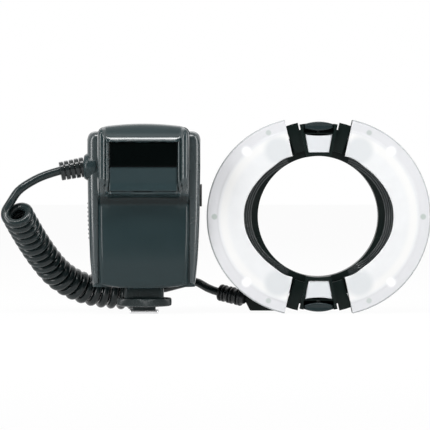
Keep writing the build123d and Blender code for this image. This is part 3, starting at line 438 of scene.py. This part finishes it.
# %% Plain finishes
fine = 0.008 * mm
finish_of_slot = {
    "case_plastic": plastic("slate case plastic", (0.021, 0.035, 0.038), 0.15, 0.22, depth=fine,
                            specular=0.25),
    "satin_panel": plastic("satin panel", (0.020, 0.036, 0.040), 0.28, 0.34, grain=2600, depth=fine,
                           specular=0.25),
    "gloss_black": plastic("dark gloss window", (0.001, 0.002, 0.002), 0.05, 0.09, grain=300,
                           depth=0.003 * mm, specular=0.05),
    "key_plastic": plastic("key plastic", (0.012, 0.018, 0.020), 0.40, 0.52, specular=0.3),
    "rubber": plastic("black rubber", (0.010, 0.013, 0.014), 0.24, 0.34, grain=1900, depth=0.02 * mm,
                      specular=0.4),
    "ring_plastic": plastic("black ring plastic", (0.004, 0.009, 0.008), 0.34, 0.46, grain=1700,
                            specular=0.15),
    "housing": plastic("lamp housing plastic", (0.008, 0.013, 0.013), 0.36, 0.48, specular=0.2),
    "board": plastic("circuit board", (0.010, 0.070, 0.030), 0.30, 0.45, grain=700, depth=0.03 * mm),
    "cell_wrap": plastic("cell wrap", (0.55, 0.56, 0.58), 0.22, 0.32, grain=300, depth=0.02 * mm),
    "capacitor": plastic("capacitor sleeve", (0.020, 0.020, 0.030), 0.25, 0.35, grain=500),
    "winding": plastic("winding tape", (0.42, 0.30, 0.06), 0.40, 0.55, grain=800),
    "sheet": plastic("keypad sheet", (0.25, 0.25, 0.26), 0.50, 0.65, grain=600),
    "display": plastic("display glass", (0.16, 0.19, 0.15), 0.12, 0.20, grain=200, depth=0.01 * mm,
                       coat=0.3),
    "steel": metal("drawn steel", (0.56, 0.56, 0.57), 0.22, 0.36, (1, 1, 12)),
    "shoe_metal": metal("bright foot metal", (0.78, 0.78, 0.79), 0.16, 0.30, (16, 1, 1)),
    "contact_gold": metal("contact metal", (0.83, 0.62, 0.28), 0.18, 0.30),
    "reflector": metal("reflector foil", (0.88, 0.88, 0.89), 0.10, 0.22, scale=300),
    "cord_jacket": plastic("cord jacket", (0.011, 0.019, 0.020), 0.18, 0.26, grain=1100,
                           depth=0.01 * mm, specular=0.35),
    "diffuser": plastic("frosted diffuser", (0.80, 0.81, 0.82), 0.35, 0.45, grain=2200, depth=0.02 * mm,
                        drift=0.04),
    "lamp_window": plastic("lamp window", (0.66, 0.68, 0.70), 0.15, 0.25, grain=1500, drift=0.04),
    "tube_glass": plastic("tube glass", (0.75, 0.75, 0.78), 0.05, 0.10, grain=200),
}
for slot in ("display_pane", "lamp"):
    finish_of_slot[slot] = finish_of_slot["display"]
lip_finish = plastic("grey ring lip", (0.022, 0.029, 0.030), 0.20, 0.30, grain=1700, depth=fine,
                     specular=0.5, coat=0.5)
neck_finish = plastic("dark neck plastic", (0.010, 0.019, 0.020), 0.26, 0.36, depth=0.010 * mm,
                      specular=0.25)
wheel_finish = plastic("knurled wheel plastic", (0.018, 0.026, 0.027), 0.24, 0.34, depth=0.010 * mm,
                       specular=0.35)
button_finish = plastic("release button plastic", (0.014, 0.024, 0.026), 0.20, 0.30, depth=fine,
                        specular=0.3)

# %% [markdown]
# Two finishes change over one piece, so they need masks. The hood is polished and the body under it is
# satin, though they are one moulding, and the hollow under the hood's lip gets painted shade. The frosted
# diffusers carry painted shade and light for what stands behind them: screw posts as grey dots, the ends
# of the lamp chamber as darker rounds, bright spots beside them, and the reflector as a lighter band.
# A painted dark line runs along their rolled outer rim.

# %% Masked finishes
def vector_maths(tree, operation, *values, result="Vector"):
    """Result of a vector math node on sockets or vectors."""
    node = add_node(tree, "ShaderNodeVectorMath", dict(enumerate(values)), operation=operation)
    return node.outputs[result]


def make_spot_group():
    """1 inside a round spot, 0 outside, with a soft border."""
    group, start, end = new_group(
        "spot mask", [("Centre", "NodeSocketVector", (0, 0, 0)), ("Radius", "NodeSocketFloat", 0.002),
                      ("Soft", "NodeSocketFloat", 0.001)], "Mask", "NodeSocketFloat")
    gap = vector_maths(group, "DISTANCE", start.outputs["Vector"], start.outputs["Centre"],
                       result="Value")
    past = maths(group, "SUBTRACT", gap, start.outputs["Radius"])
    fade = add_node(group, "ShaderNodeMapRange",
                    {"Value": past, "From Min": 0.0, "From Max": start.outputs["Soft"], "To Min": 1.0,
                     "To Max": 0.0}, interpolation_type="SMOOTHSTEP")
    group.links.new(fade.outputs[0], end.inputs["Mask"])
    return group


def step_mask(tree, value, low, high):
    """Soft step from 0 to 1 between two values."""
    return add_node(tree, "ShaderNodeMapRange", {"Value": value, "From Min": low, "From Max": high},
                    interpolation_type="SMOOTHSTEP").outputs[0]


def band_mask(tree, value, rise, fall):
    """1 between two soft steps; each is a pair, 0 at its first value and 1 at its second."""
    return maths(tree, "MULTIPLY", step_mask(tree, value, *rise), step_mask(tree, value, *fall))


def tint(tree, color, mask, target):
    """Mixes a colour towards another where the mask is 1."""
    return add_node(tree, "ShaderNodeMix", {"Factor": mask, "A": color, "B": (*target, 1)},
                    data_type="RGBA").outputs["Result"]


def hood_plastic():
    """Case plastic that is polished on the hood, with painted shade in the hollow under it."""
    material = plastic("hood and body plastic", (0.017, 0.031, 0.034), 0.15, 0.22, depth=fine,
                       specular=0.25)
    tree = material.node_tree
    shader = tree.nodes["Principled BSDF"]
    place = tree.nodes["Texture Coordinate"].outputs["Object"]
    height = add_node(tree, "ShaderNodeSeparateXYZ", {0: place}).outputs["Z"]
    shine = band_mask(tree, height, (76.5 * mm, 80 * mm), (117.5 * mm, 114.5 * mm))
    tree.links.new(shine, shader.inputs["Coat Weight"])
    shader.inputs["Coat Roughness"].default_value = 0.13
    # Painted shade: the base colour turns near black in the hollow under the hood's lip.
    hollow = band_mask(tree, height, (69.5 * mm, 72 * mm), (76.8 * mm, 75.5 * mm))
    color = shader.inputs["Base Color"].links[0].from_socket
    tree.links.new(tint(tree, color, hollow, (0.004, 0.010, 0.011)), shader.inputs["Base Color"])
    return material


def diffuser_plastic(name, middle_x):
    """Frosted cover with painted shade and light for what stands behind it, placed round the middle of its
    half.
    """
    material, tree, shader, place = new_material(name)
    offset = vector_maths(tree, "SUBTRACT", place, (middle_x, 0, ring_place[1]))
    flat = vector_maths(tree, "MULTIPLY", offset, (1, 0, 1))
    folded = vector_maths(tree, "ABSOLUTE", flat)
    radius = vector_maths(tree, "LENGTH", flat, result="Value")
    tone = group_node(tree, tone_group, place, Color=(0.74, 0.75, 0.76, 1), Amount=0.10, Scale=110.0)
    band = step_mask(tree, radius, 55.5 * mm, 57.5 * mm)
    color = tint(tree, tone.outputs["Color"], band, (0.665, 0.67, 0.69))
    # Painted light: a lighter band where the reflector shines through the cover.
    reflector_light_band = band_mask(tree, radius, (48.5 * mm, 52.5 * mm), (56.0 * mm, 54.5 * mm))
    color = tint(tree, color, reflector_light_band, (0.79, 0.79, 0.785))
    # Painted shade for the lamp chamber's ends and the screw posts behind the cover, and a painted bright
    # spot beside each end.
    lamp_end_shade = ((18, 0, 43), 6.0, 5.0, (0.64, 0.66, 0.675))
    end_post_shadow = ((24.2, 0, 54.4), 1.1, 1.2, (0.50, 0.54, 0.53))
    side_post_shadow = ((59.2, 0, 0), 1.2, 1.2, (0.45, 0.50, 0.48))
    painted_bright_spot = ((38.5, 0, 42.5), 1.2, 3.0, (0.94, 0.94, 0.94))
    for centre, size, soft, shade in (lamp_end_shade, end_post_shadow, side_post_shadow, painted_bright_spot):
        spot = group_node(tree, spot_group, folded, Centre=[value * mm for value in centre],
                          Radius=size * mm, Soft=soft * mm)
        color = tint(tree, color, spot.outputs["Mask"], shade)
    # Painted shade: a dark line along the rolled outer rim.
    rim_shade_line = step_mask(tree, radius, 63.1 * mm, 63.7 * mm)
    color = tint(tree, color, rim_shade_line, (0.38, 0.40, 0.41))
    tree.links.new(color, shader.inputs["Base Color"])
    touch = group_node(tree, handling_group, place, Smooth=0.30, Rough=0.42)
    tree.links.new(touch.outputs["Roughness"], shader.inputs["Roughness"])
    frost = group_node(tree, grain_group, place, Scale=1500.0)
    add_bump(tree, shader, frost.outputs["Height"], 0.4, 0.015 * mm)
    return material


spot_group = make_spot_group()
hood_finish = hood_plastic()
left_diffuser_finish = diffuser_plastic("left frosted diffuser", ring_place[0] - half_shift)
right_diffuser_finish = diffuser_plastic("right frosted diffuser", ring_place[0] + half_shift)
shoulder_finish = plastic("shoulder plastic", (0.021, 0.034, 0.037), 0.24, 0.32, depth=fine,
                          specular=0.5, coat=0.5)
relief_finish = plastic("relief rubber", (0.010, 0.014, 0.015), 0.16, 0.24, depth=fine, specular=0.5)

# %% [markdown]
# The front shell is what gives the unit its face: a plain convex body below, and a hood above whose
# rounded frame stands round the window. On the real one it is one moulding that flows from one form
# into the other, so it isn't cut from blocks here. It starts as a flat grid, and each point of the
# grid is moved forward by a height that is worked out from its place, the way a sculptor works in relief.

# %% Helpers for new pieces
slot_of = {part["node"]: part["material_slot"] for part in frame["record"]["subparts"]}
body_of = {node: body for body, members in frame["record"]["behaviour"]["bodies"].items()
           for node in members}


def smooth(low, high, value):
    """0 below low, 1 above high, and a soft step between."""
    share = share_of((value - low) / (high - low))
    return share * share * (3 - 2 * share)


def mix(first, second, share):
    """Value between two others."""
    return first + (second - first) * share


def share_of(value):
    """The value, held between 0 and 1."""
    return min(max(value, 0), 1)


def roll(inset):
    """How far a round edge has rolled back, from 0 at its start to 1 at its end."""
    return 1 - (1 - inset ** 2) ** 0.5


def even(count):
    """Even places from 0 to 1."""
    return [index / count for index in range(count + 1)]


def graded(knots):
    """Places from (place, count) knots: count steps lead up to each place."""
    places = [knots[0][0]]
    for (low, _), (high, count) in zip(knots, knots[1:]):
        places += [low + (high - low) * (step + 1) / count for step in range(count)]
    return places


def both_sides(places):
    """A row of places from 0 outwards, repeated to the other side of 0."""
    return [-place for place in reversed(places[1:])] + places


def soft_line(knots, value):
    """Height along a row of (place, height) knots, level at every knot."""
    for (low, first), (high, second) in zip(knots, knots[1:]):
        if value <= high:
            return mix(first, second, smooth(low, high, value))
    return knots[-1][1]


def start_piece(name, add, **options):
    """Adds a primitive with nothing else selected, and names it."""
    bpy.ops.object.select_all(action="DESELECT")
    add(**options)
    piece = bpy.context.object
    piece.name = name
    piece.data.name = name
    return piece


def start_grid(name, columns, rows):
    """Adds a flat grid, which is then bent into its form."""
    return start_piece(name, bpy.ops.mesh.primitive_grid_add, size=1, x_subdivisions=columns,
                       y_subdivisions=rows)


def select_only(piece):
    """Selects one piece and makes it the active one."""
    bpy.ops.object.select_all(action="DESELECT")
    piece.select_set(True)
    bpy.context.view_layer.objects.active = piece


def edit(piece):
    """Goes into edit mode on one piece."""
    select_only(piece)
    bpy.ops.object.mode_set(mode="EDIT")


def tidy_normals(piece, merge=1e-6):
    """Merges doubles and turns every face outwards."""
    edit(piece)
    bpy.ops.mesh.select_all(action="SELECT")
    bpy.ops.mesh.remove_doubles(threshold=merge)
    bpy.ops.mesh.normals_make_consistent(inside=False)
    bpy.ops.object.mode_set(mode="OBJECT")


def smooth_by_angle(piece, degrees=35):
    """Smooth shading, with edges sharper than the angle kept."""
    select_only(piece)
    bpy.ops.object.shade_smooth_by_angle(angle=radians(degrees))


def bent_grid(name, columns, rows, point, back, degrees=50, merge=1e-6):
    """Grid whose points a function places, with its border drawn back to a depth and closed there."""
    piece = start_grid(name, len(columns) - 1, len(rows) - 1)
    for index, vertex in enumerate(piece.data.vertices):
        vertex.co = point(columns[index % len(columns)], rows[index // len(columns)])
    edit(piece)
    bpy.ops.mesh.select_mode(type="EDGE")
    bpy.ops.mesh.select_all(action="SELECT")
    bpy.ops.mesh.region_to_loop()
    bpy.ops.mesh.extrude_edges_move()
    bpy.ops.object.mode_set(mode="OBJECT")
    for vertex in piece.data.vertices:
        if vertex.select:
            vertex.co.y = back
    edit(piece)
    bpy.ops.mesh.edge_face_add()
    bpy.ops.object.mode_set(mode="OBJECT")
    tidy_normals(piece, merge)
    smooth_by_angle(piece, degrees)
    return piece


def apply_modifiers(piece):
    """Makes the modifiers part of the mesh."""
    select_only(piece)
    for modifier in list(piece.modifiers):
        bpy.ops.object.modifier_apply(modifier=modifier.name)


def bevel(piece, width, segments=3):
    """Rounds the sharp edges of a piece."""
    rounding = piece.modifiers.new("rounding", "BEVEL")
    rounding.width = width
    rounding.segments = segments
    rounding.limit_method = "ANGLE"
    rounding.angle_limit = radians(35)
    apply_modifiers(piece)


def finish_piece(piece, node, material=None):
    """Gives a piece its finish, chosen by the node's slot unless one is given, puts it on the node's body
    and hides the node.
    """
    piece.data.materials.clear()
    piece.data.materials.append(material or finish_of_slot[slot_of[node]])
    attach(piece, body_of[node])
    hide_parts(node)


# %% Front shell: outline and heights
shell_back = -15 * mm
shell_half = 29.6 * mm
shell_foot_half = 28.4 * mm
recess_half = 21.9 * mm
recess_low = 79.4 * mm
recess_high = 110.9 * mm
recess_depth = 12.1 * mm
lip_height = 13.4 * mm
cove_low = 70 * mm
cove_rise = 7.6 * mm


def shell_width(z):
    """Half the width of the shell at a height."""
    return mix(shell_foot_half, shell_half, smooth(16 * mm, 60 * mm, z))


def shell_bottom(x):
    """The curved lower edge."""
    return 16.4 * mm + 2.6 * mm * (x / shell_half) ** 2


def shell_top(x):
    """The crowned upper edge, with its round corners."""
    corner_radius = 6 * mm
    side = max(0, abs(x) - (shell_half - corner_radius))
    corner = corner_radius - (max(0, corner_radius ** 2 - side ** 2)) ** 0.5
    return 122.9 * mm - 2.4 * mm * (x / shell_half) ** 2 - corner


def body_height(x, z):
    """Height of the lower face: a belly that also falls away to both sides."""
    belly = soft_line([(14 * mm, 5.6 * mm), (36 * mm, 7.1 * mm), (74 * mm, 6.0 * mm)], z)
    return belly - 4.2 * mm * abs(x / shell_half) ** 2.3


def soft_plus(value):
    """0 for low values and the value itself for high ones, with a round bend between."""
    return (value + (value * value + 1) ** 0.5) / 2


def ridge(distance, centre, half, rise):
    """Round ridge: a half circle squeezed to a width and a height."""
    share = (distance - centre) / half
    return rise * max(0, 1 - share * share) ** 0.5


def bar_profile(q):
    """Frame of the hood at a distance from the recess: thin rim, groove, then a round bar."""
    base = mix(recess_depth, 12.3 * mm, smooth(-0.3 * mm, 0.5 * mm, q))
    rim = ridge(q, 1.2 * mm, 1.25 * mm, 1.9 * mm)
    bar = ridge(q, 5.0 * mm, 2.9 * mm, 3.1 * mm)
    fall = 4.2 * mm * max(0, (q - 6.6 * mm) / (5 * mm)) ** 2
    return base + max(rim, bar) - fall


def crown_profile(q):
    """Top of the hood at a distance above the recess: a bright slanted lip, then the steeper crown."""
    lip = mix(recess_depth, 15.2 * mm, smooth(-0.5 * mm, 0.5 * mm, q)) - 0.5 * max(0, q)
    return lip - 0.7 * mm * soft_plus((q - 3.4 * mm) / (1 * mm))


def hood_height(x, z):
    """Height of the hood: its frame, the recess inside it and its soft crown."""
    across = abs(x) - recess_half - 1.2 * mm * (1 - smooth(74 * mm, 88 * mm, z))
    above = z - recess_high
    if across < 0 and above < 0 and z > recess_low:
        return recess_depth
    side = bar_profile(across) - 0.05 / mm * max(0, above - 1.5 * mm) ** 2
    if above <= 0:
        return side
    top = crown_profile(above) - 0.05 / mm * max(0, across - 2 * mm) ** 2
    return mix(top, side, smooth(-1.2 * mm, 2.6 * mm, across - 0.35 * above))


def shell_height(x, z):
    """Height of the front shell in front of the case."""
    lower = body_height(x, z)
    rise = share_of((z - cove_low) / cove_rise)
    cove = 1 - (1 - rise ** 2.2) ** 0.6
    flare = smooth(68 * mm, 86 * mm, z - 0.25 * max(0, abs(x) - recess_half))
    inside = 1 - smooth(recess_half - 1.2 * mm, recess_half + 2.4 * mm, abs(x))
    share = mix(flare, cove, inside)
    if z < recess_low:
        upper = mix(hood_height(x, recess_low + 4 * mm), lip_height, inside)
    else:
        upper = hood_height(x, z)
    height = mix(lower, upper, share)
    edge = min(shell_width(z) - abs(x), 0.9 * (shell_top(x) - z), z - shell_bottom(x))
    round_edge = 3.1 * mm
    inset = 1 - share_of(edge / round_edge)
    return max(height - round_edge * roll(inset), 0.3 * mm)


# %% Front shell: the piece
def shell_point(share, rise):
    """Point of the shell's face from its share of the width and of the height."""
    x = share * shell_half
    z = mix(shell_bottom(x), shell_top(x), rise)
    x = share * shell_width(z)
    return x, shell_back - shell_height(x, z), z


shell_columns = both_sides(graded([(0, 0), (0.55, 8), (0.72, 8), (0.745, 3), (0.80, 8), (0.92, 9), (0.97, 6),
                                   (1.0, 6)]))
shell_rows = graded([(0, 0), (0.02, 6), (0.42, 22), (0.50, 8), (0.57, 16), (0.596, 6), (0.66, 6),
                     (0.86, 14), (0.895, 5), (0.912, 5), (0.97, 10), (1.0, 9)])
front_shell = bent_grid("front_shell", shell_columns, shell_rows, shell_point, shell_back)
finish_piece(front_shell, "front_cover", hood_finish)
print("front shell faces:", len(front_shell.data.polygons))

# %% [markdown]
# Beside the hood the case shows two full, round shoulders. Each is a long strip of the same moulding,
# bent through a quarter turn from the front to the side, so that it catches the lamps along its length.

# %% Case shoulders
case_sides = [
    (17.5 * mm, 33.0 * mm), (36 * mm, 34.8 * mm), (62 * mm, 35.9 * mm), (95 * mm, 36.5 * mm),
    (118 * mm, 36.5 * mm),
]
shoulder_inner = 29.7 * mm
shoulder_back = -9.8 * mm
shoulder_front = -15.9 * mm


def case_side(z):
    """Half width of the case at a height."""
    for (low, first), (high, second) in zip(case_sides, case_sides[1:]):
        if z <= high:
            return mix(first, second, (z - low) / (high - low))
    return case_sides[-1][1]


def shoulder_top(x):
    """Upper edge of a shoulder, with the case's round corner."""
    corner_radius = 6 * mm
    past = share_of((x - 30.5 * mm) / corner_radius)
    return 118.1 * mm - corner_radius * roll(past)


def make_shoulder(name, side):
    """Strip bent round the front corner of the case."""
    low_z = 18 * mm

    def point(share, rise):
        z = mix(low_z, shoulder_top(mix(shoulder_inner, case_side(100 * mm), share)), rise)
        x = mix(shoulder_inner, case_side(z) + 0.1 * mm, share)
        turn = (1 - share ** 2.4) ** (1 / 2.4)
        gap = share_of((shoulder_top(x) - z) / (5 * mm))
        foot = share_of((z - low_z) / (3 * mm))
        turn *= (1 - (1 - gap) ** 2) ** 0.5 * (1 - (1 - foot) ** 2) ** 0.5
        return side * x, mix(shoulder_back, shoulder_front, turn), z

    columns = [1 - (1 - share) ** 1.6 for share in even(18)]
    rows = [1 - (1 - share) ** 1.3 for share in even(60)]
    shoulder = bent_grid(name, columns, rows, point, shoulder_back + 0.01 * mm, 60, 2e-5)
    shoulder.data.materials.append(shoulder_finish)
    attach(shoulder, "root")
    return shoulder


for name, side in (("left_shoulder", -1), ("right_shoulder", 1)):
    print(name, len(make_shoulder(name, side).data.polygons))

# %% [markdown]
# Several parts of the real flash are small moulded caps with rounded edges: the sensor window, the satin
# panel under it, the two release buttons and the two lamp windows. Each is made the same way. A flat
# grid is fitted between a lower and an upper edge line, its border is rolled back, and the open rim is
# drawn back to the depth where the cap sits.

# %% Caps
def make_cap(name, middle, width, low, high, front, back, edge, swell=None, flip=1):
    """Cap between two edge lines; width, low and high are functions, flip=-1 turns it upside down."""
    def point(share, rise):
        x = share * width(rise)
        bottom, top = low(x), high(x)
        z = mix(bottom, top, rise)
        room = min((1 - abs(share)) * width(rise), z - bottom, top - z)
        y = front + edge * roll(1 - share_of(room / edge))
        if swell:
            y -= swell(x, z)
        return middle[0] + x, y, middle[1] + flip * z

    columns = both_sides(graded([(0, 0), (0.8, 10), (1.0, 8)]))
    rows = graded([(0, 0), (0.12, 6), (0.88, 10), (1.0, 6)])
    return bent_grid(name, columns, rows, point, back)


def level(value):
    """Function that always gives the same value."""
    return lambda place: value


def panel_swell(x, z):
    """The panel's lower edge swells forward into a lip."""
    return 0.7 * mm * (1 - smooth(80.4 * mm, 84.5 * mm, z))


window = make_cap("dark_window", (0, 0), level(21.7 * mm), level(95.2 * mm), level(110.6 * mm),
                  -28.9 * mm, -27.3 * mm, 0.35 * mm)
finish_piece(window, "sensor_window")
panel = make_cap("satin_panel", (0, 0), level(21.7 * mm), level(79.6 * mm), level(95.1 * mm),
                 -28.2 * mm, -27.3 * mm, 0.4 * mm, panel_swell)
finish_piece(panel, "front_panel")

# %% Release buttons and lamp windows
button_half = 9.6 * mm


def button_low(x):
    """Inner edge of a release button, which bows towards the bore."""
    return 55.7 * mm + 1.9 * mm * (x / button_half) ** 2


def button_high(x):
    """Outer edge of a release button, which bows outwards."""
    return 61.6 * mm - 1.7 * mm * (x / button_half) ** 2


def button_swell(x, z):
    """Domed face with a finger hollow."""
    hollow = 0.35 * mm * (1 - smooth(0, 1.9 * mm, abs(z - 58.9 * mm)))
    return -0.9 * mm * (x / button_half) ** 2 - hollow


def window_high(x):
    """Outer edge of a lamp window, hollowed by the button."""
    return 53.5 * mm - 1.0 * mm * (1 - (x / (9 * mm)) ** 2)


def window_width(rise):
    """Half the width of a lamp window, narrower towards the bore."""
    return mix(6.7 * mm, 8.9 * mm, rise)


for side, flip in (("top", 1), ("bottom", -1)):
    button = make_cap(side + "_button_cap", ring_place, level(9.5 * mm), button_low, button_high,
                      -7.7 * mm, 2.1 * mm, 0.9 * mm, button_swell, flip)
    finish_piece(button, side + "_release_button", button_finish)
    pane = make_cap(side + "_lamp_pane", ring_place, window_width, level(41.5 * mm), window_high,
                    -6.9 * mm, -5.4 * mm, 0.5 * mm, None, flip)
    finish_piece(pane, side + "_lamp_window")
print("caps: window, panel, two buttons, two lamp panes")

# %% [markdown]
# The engineering solids have sharp edges, because small roundings don't matter there. A real moulding
# never has one: its edges catch a thin line of light. So the parts below are copied, their flat faces
# are cleaned up, and a small bevel rounds the edges before they replace the sharp ones.

# %% Rounded copies
def copy_node(node, ending):
    """Copy of a solid from the frame, under a new name."""
    piece = nodes[node].copy()
    piece.data = nodes[node].data.copy()
    piece.name = node + ending
    piece.data.name = piece.name
    scene.collection.objects.link(piece)
    return piece


def rounded_copy(node, width, segments=3, material=None):
    """Copy of a solid from the frame with its sharp edges rounded."""
    piece = copy_node(node, "_rounded")
    edit(piece)
    bpy.ops.mesh.select_all(action="SELECT")
    bpy.ops.mesh.remove_doubles(threshold=2e-6)
    bpy.ops.mesh.dissolve_limited(angle_limit=radians(2))
    bpy.ops.object.mode_set(mode="OBJECT")
    bevel(piece, width, segments)
    smooth_by_angle(piece, 40)
    finish_piece(piece, node, material)
    return piece


rounded = [
    rounded_copy("cord_boss", 0.7 * mm),
    rounded_copy("shoe_neck", 0.5 * mm, material=neck_finish),
    rounded_copy("shoe_plate", 0.25 * mm),
    rounded_copy("ring_strain_relief", 0.4 * mm, 2),
    rounded_copy("ring_frame", 0.3 * mm, 2),
    rounded_copy("left_lamp_housing", 0.3 * mm, 2),
    rounded_copy("right_lamp_housing", 0.3 * mm, 2),
]
for piece in rounded:
    print(piece.name, len(piece.data.polygons))

# %% [markdown]
# The lock wheel has a fine knurl that fingers can grip. It is turned from a circle of many points:
# rings of them are stacked from the bore to the rim, and every second point of the rim stands back.

# %% Lock wheel
def make_turned(name, profile, steps, notch=0.0):
    """Closed turned piece from (radius, height, notched) rows round the upright axis."""
    piece = start_grid(name, steps, len(profile))
    for index, vertex in enumerate(piece.data.vertices):
        column = index % (steps + 1)
        radius, height, notched = profile[index // (steps + 1) % len(profile)]
        radius -= notch if notched and column % 2 else 0
        angle = 2 * pi * column / steps
        vertex.co = (radius * cos(angle), radius * sin(angle), height)
    tidy_normals(piece)
    return piece


wheel_profile = [
    (6.1, 4.7, 0), (16.2, 4.6, 0), (17.2, 4.9, 0), (17.75, 5.6, 1), (17.8, 7.2, 1), (17.75, 8.9, 1),
    (17.5, 9.6, 0), (17.2, 9.8, 0), (16.95, 9.5, 0), (16.7, 9.0, 0), (6.1, 9.0, 0),
]
wheel_rows = [(radius * mm, height * mm, notched) for radius, height, notched in wheel_profile]
wheel = make_turned("knurled_wheel", wheel_rows, 240, notch=0.28 * mm)
smooth_by_angle(wheel, 30)
finish_piece(wheel, "lock_wheel", wheel_finish)
print("wheel faces:", len(wheel.data.polygons))

# %% [markdown]
# The strain relief keeps the cord from kinking where it leaves the unit. It is one soft moulding: thick
# ribs on a core, with narrow slots between them that close as the cord bends.

# %% Strain relief
def along_axis(piece, start, end):
    """Lays a piece that stands upright at the origin along the line between two points."""
    way = Vector(end) - Vector(start)
    piece.data.transform(way.to_track_quat("Z", "Y").to_matrix().to_4x4())
    piece.data.transform(Matrix.Translation(Vector(start)))


def rib_profile(count, length, first, last, core, slot):
    """Rows of a ribbed sleeve: rounded ribs with slots down to the core."""
    pitch = length / count
    axis_radius = 0.1 * mm
    bend = 0.35 * mm
    slant = 0.05 * mm
    rows = [(axis_radius, 0, 0)]
    for index in range(count):
        radius = mix(first, last, index / (count - 1))
        low = index * pitch
        high = low + pitch - slot
        rows += [(radius - bend, low, 0), (radius, low + bend, 0), (radius, high - bend, 0),
                 (radius - bend, high, 0)]
        if index < count - 1:
            rows += [(core, high + slant, 0), (core, low + pitch - slant, 0)]
    return rows + [(axis_radius, count * pitch - slot, 0)]


relief_start = (-38.6 * mm, -8.0 * mm, 95.0 * mm)
relief_end = (-54.6 * mm, -9.6 * mm, 92.0 * mm)
relief_length = (Vector(relief_end) - Vector(relief_start)).length
relief_rows = rib_profile(5, relief_length, first=6.5 * mm, last=6.1 * mm, core=3.9 * mm, slot=0.55 * mm)
relief = make_turned("ribbed_relief", relief_rows, 64)
along_axis(relief, relief_start, relief_end)
smooth_by_angle(relief, 40)
finish_piece(relief, "unit_strain_relief", relief_finish)

# %% [markdown]
# Between each half and the bore, the real head shows a grey lip with fine turned lines. Those lines
# follow the inner edge of the half. Here the lip is a thin strip with four round ridges.

# %% Grooved lips
def make_lip(name, side):
    """Thin ridged strip on the frame's face beside the bore."""
    turn_x = ring_place[0] + side * half_shift
    inner, outer, bore = 35.2 * mm, 40.6 * mm, 39.7 * mm
    front, back = 3.28 * mm, 3.32 * mm
    ridge_pitch, ridge_height = 1.35 * mm, 0.22 * mm
    span = 73

    def point(across, share):
        angle = radians(mix(-span, span, across))
        least = (max(0, bore ** 2 - (half_shift * sin(angle)) ** 2)) ** 0.5 - half_shift * cos(angle)
        start = min(max(inner, least), outer - 0.3 * mm)
        radius = mix(start, outer, share)
        line = (outer - radius) / ridge_pitch % 1
        height = ridge_height * (1 - (2 * line - 1) ** 2) ** 0.5
        return turn_x + side * radius * cos(angle), front - height, ring_place[1] + radius * sin(angle)

    lip = bent_grid(name, even(96), even(40), point, back, 40)
    lip.data.materials.append(lip_finish)
    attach(lip, "root")
    return lip


for name, side in (("left_lip", -1), ("right_lip", 1)):
    print(name, len(make_lip(name, side).data.polygons))

# %% Cable boss
def make_boss():
    """Wedge that takes the cord into the ring, drawn back from its outline and rounded."""
    outline = [
        (-49.4, -44.6), (-47.6, -55.6), (-44.2, -62.2), (-25.2, -62.2), (-24.0, -50.0), (-36.0, -34.0),
        (-42.4, -32.0),
    ]
    front, depth = 17.2 * mm, 4.2 * mm
    boss = start_piece("cable_boss", bpy.ops.mesh.primitive_circle_add, vertices=len(outline), radius=1,
                       fill_type="NGON")
    for vertex, (x, z) in zip(boss.data.vertices, outline):
        vertex.co = (ring_place[0] + x * mm, front, ring_place[1] + z * mm)
    edit(boss)
    bpy.ops.mesh.select_all(action="SELECT")
    bpy.ops.mesh.extrude_region_move(TRANSFORM_OT_translate={"value": (0, depth, 0)})
    bpy.ops.object.mode_set(mode="OBJECT")
    tidy_normals(boss)
    bevel(boss, 0.8 * mm)
    smooth_by_angle(boss)
    return boss


boss = make_boss()
finish_piece(boss, "ring_cable_boss")
print("boss faces:", len(boss.data.polygons))

# %% [markdown]
# A diffuser is pressed from one frosted sheet: its outer edge is rolled, a shallow step marks the seat of
# the housing under it, and its inner edge isn't a plain arc but bows inwards beside each end of the lamp.
# A grid is bent into that shape, angle by angle.

# %% Diffusers
def diffuser_inner(angle):
    """Radius of the inner edge at an angle from the middle of the half."""
    plain_radius, bow_depth = 40.1 * mm, 1.5 * mm
    bow = smooth(6, 44, abs(angle)) * (1 - smooth(54, 73, abs(angle)))
    return plain_radius - bow_depth * bow


def make_diffuser(name, side, finish, node):
    """Frosted cover of one half."""
    middle_x = ring_place[0] + side * half_shift
    outer = 64.2 * mm
    front, back = -8 * mm, -5.82 * mm
    edge_roll, rim_roll = 0.6 * mm, 1.0 * mm
    seat_step = 0.25 * mm
    span = 77.7

    def point(angle, share):
        start = diffuser_inner(angle)
        radius = mix(start, outer, share)
        end_room = radians(span - abs(angle)) * radius
        inner_edge = 1 - min(min(radius - start, end_room) / edge_roll, 1)
        outer_edge = 1 - min((outer - radius) / rim_roll, 1)
        y = front + edge_roll * roll(inner_edge) + rim_roll * roll(outer_edge)
        y += seat_step * smooth(56.6 * mm, 57.4 * mm, radius)
        turn = radians(angle)
        return middle_x + side * radius * cos(turn), y, ring_place[1] + radius * sin(turn)

    angles = graded([(-span, 0), (-span + 1, 6), (span - 1, 110), (span, 6)])
    radii = graded([(0, 0), (0.04, 6), (0.66, 14), (0.70, 5), (0.955, 8), (1.0, 8)])
    cover = bent_grid(name, angles, radii, point, back)
    finish_piece(cover, node, finish)
    return cover


left_cover = make_diffuser("left_frosted_cover", -1, left_diffuser_finish, "left_diffuser")
right_cover = make_diffuser("right_frosted_cover", 1, right_diffuser_finish, "right_diffuser")
print("diffuser faces:", len(left_cover.data.polygons), len(right_cover.data.polygons))

# %% [markdown]
# Each release button works against a small coil spring in its slot. The spring is drawn again as a copy
# with a mesh of its own.

# %% Release springs
def make_spring(node):
    """Copy of a spring, finished and on its body, with a mesh of its own."""
    spring = copy_node(node, "_coil")
    tidy_normals(spring)
    smooth_by_angle(spring)
    finish_piece(spring, node)
    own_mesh(spring)


make_spring("top_release_spring")
make_spring("bottom_release_spring")

# %% Finishes by node
for name, piece in nodes.items():
    piece.data.materials.clear()
    piece.data.materials.append(finish_of_slot[slot_of[name]])
curly_cord.data.materials.append(finish_of_slot["cord_jacket"])
print("nodes with a finish:", len(nodes))

bpy.context.view_layer.update()
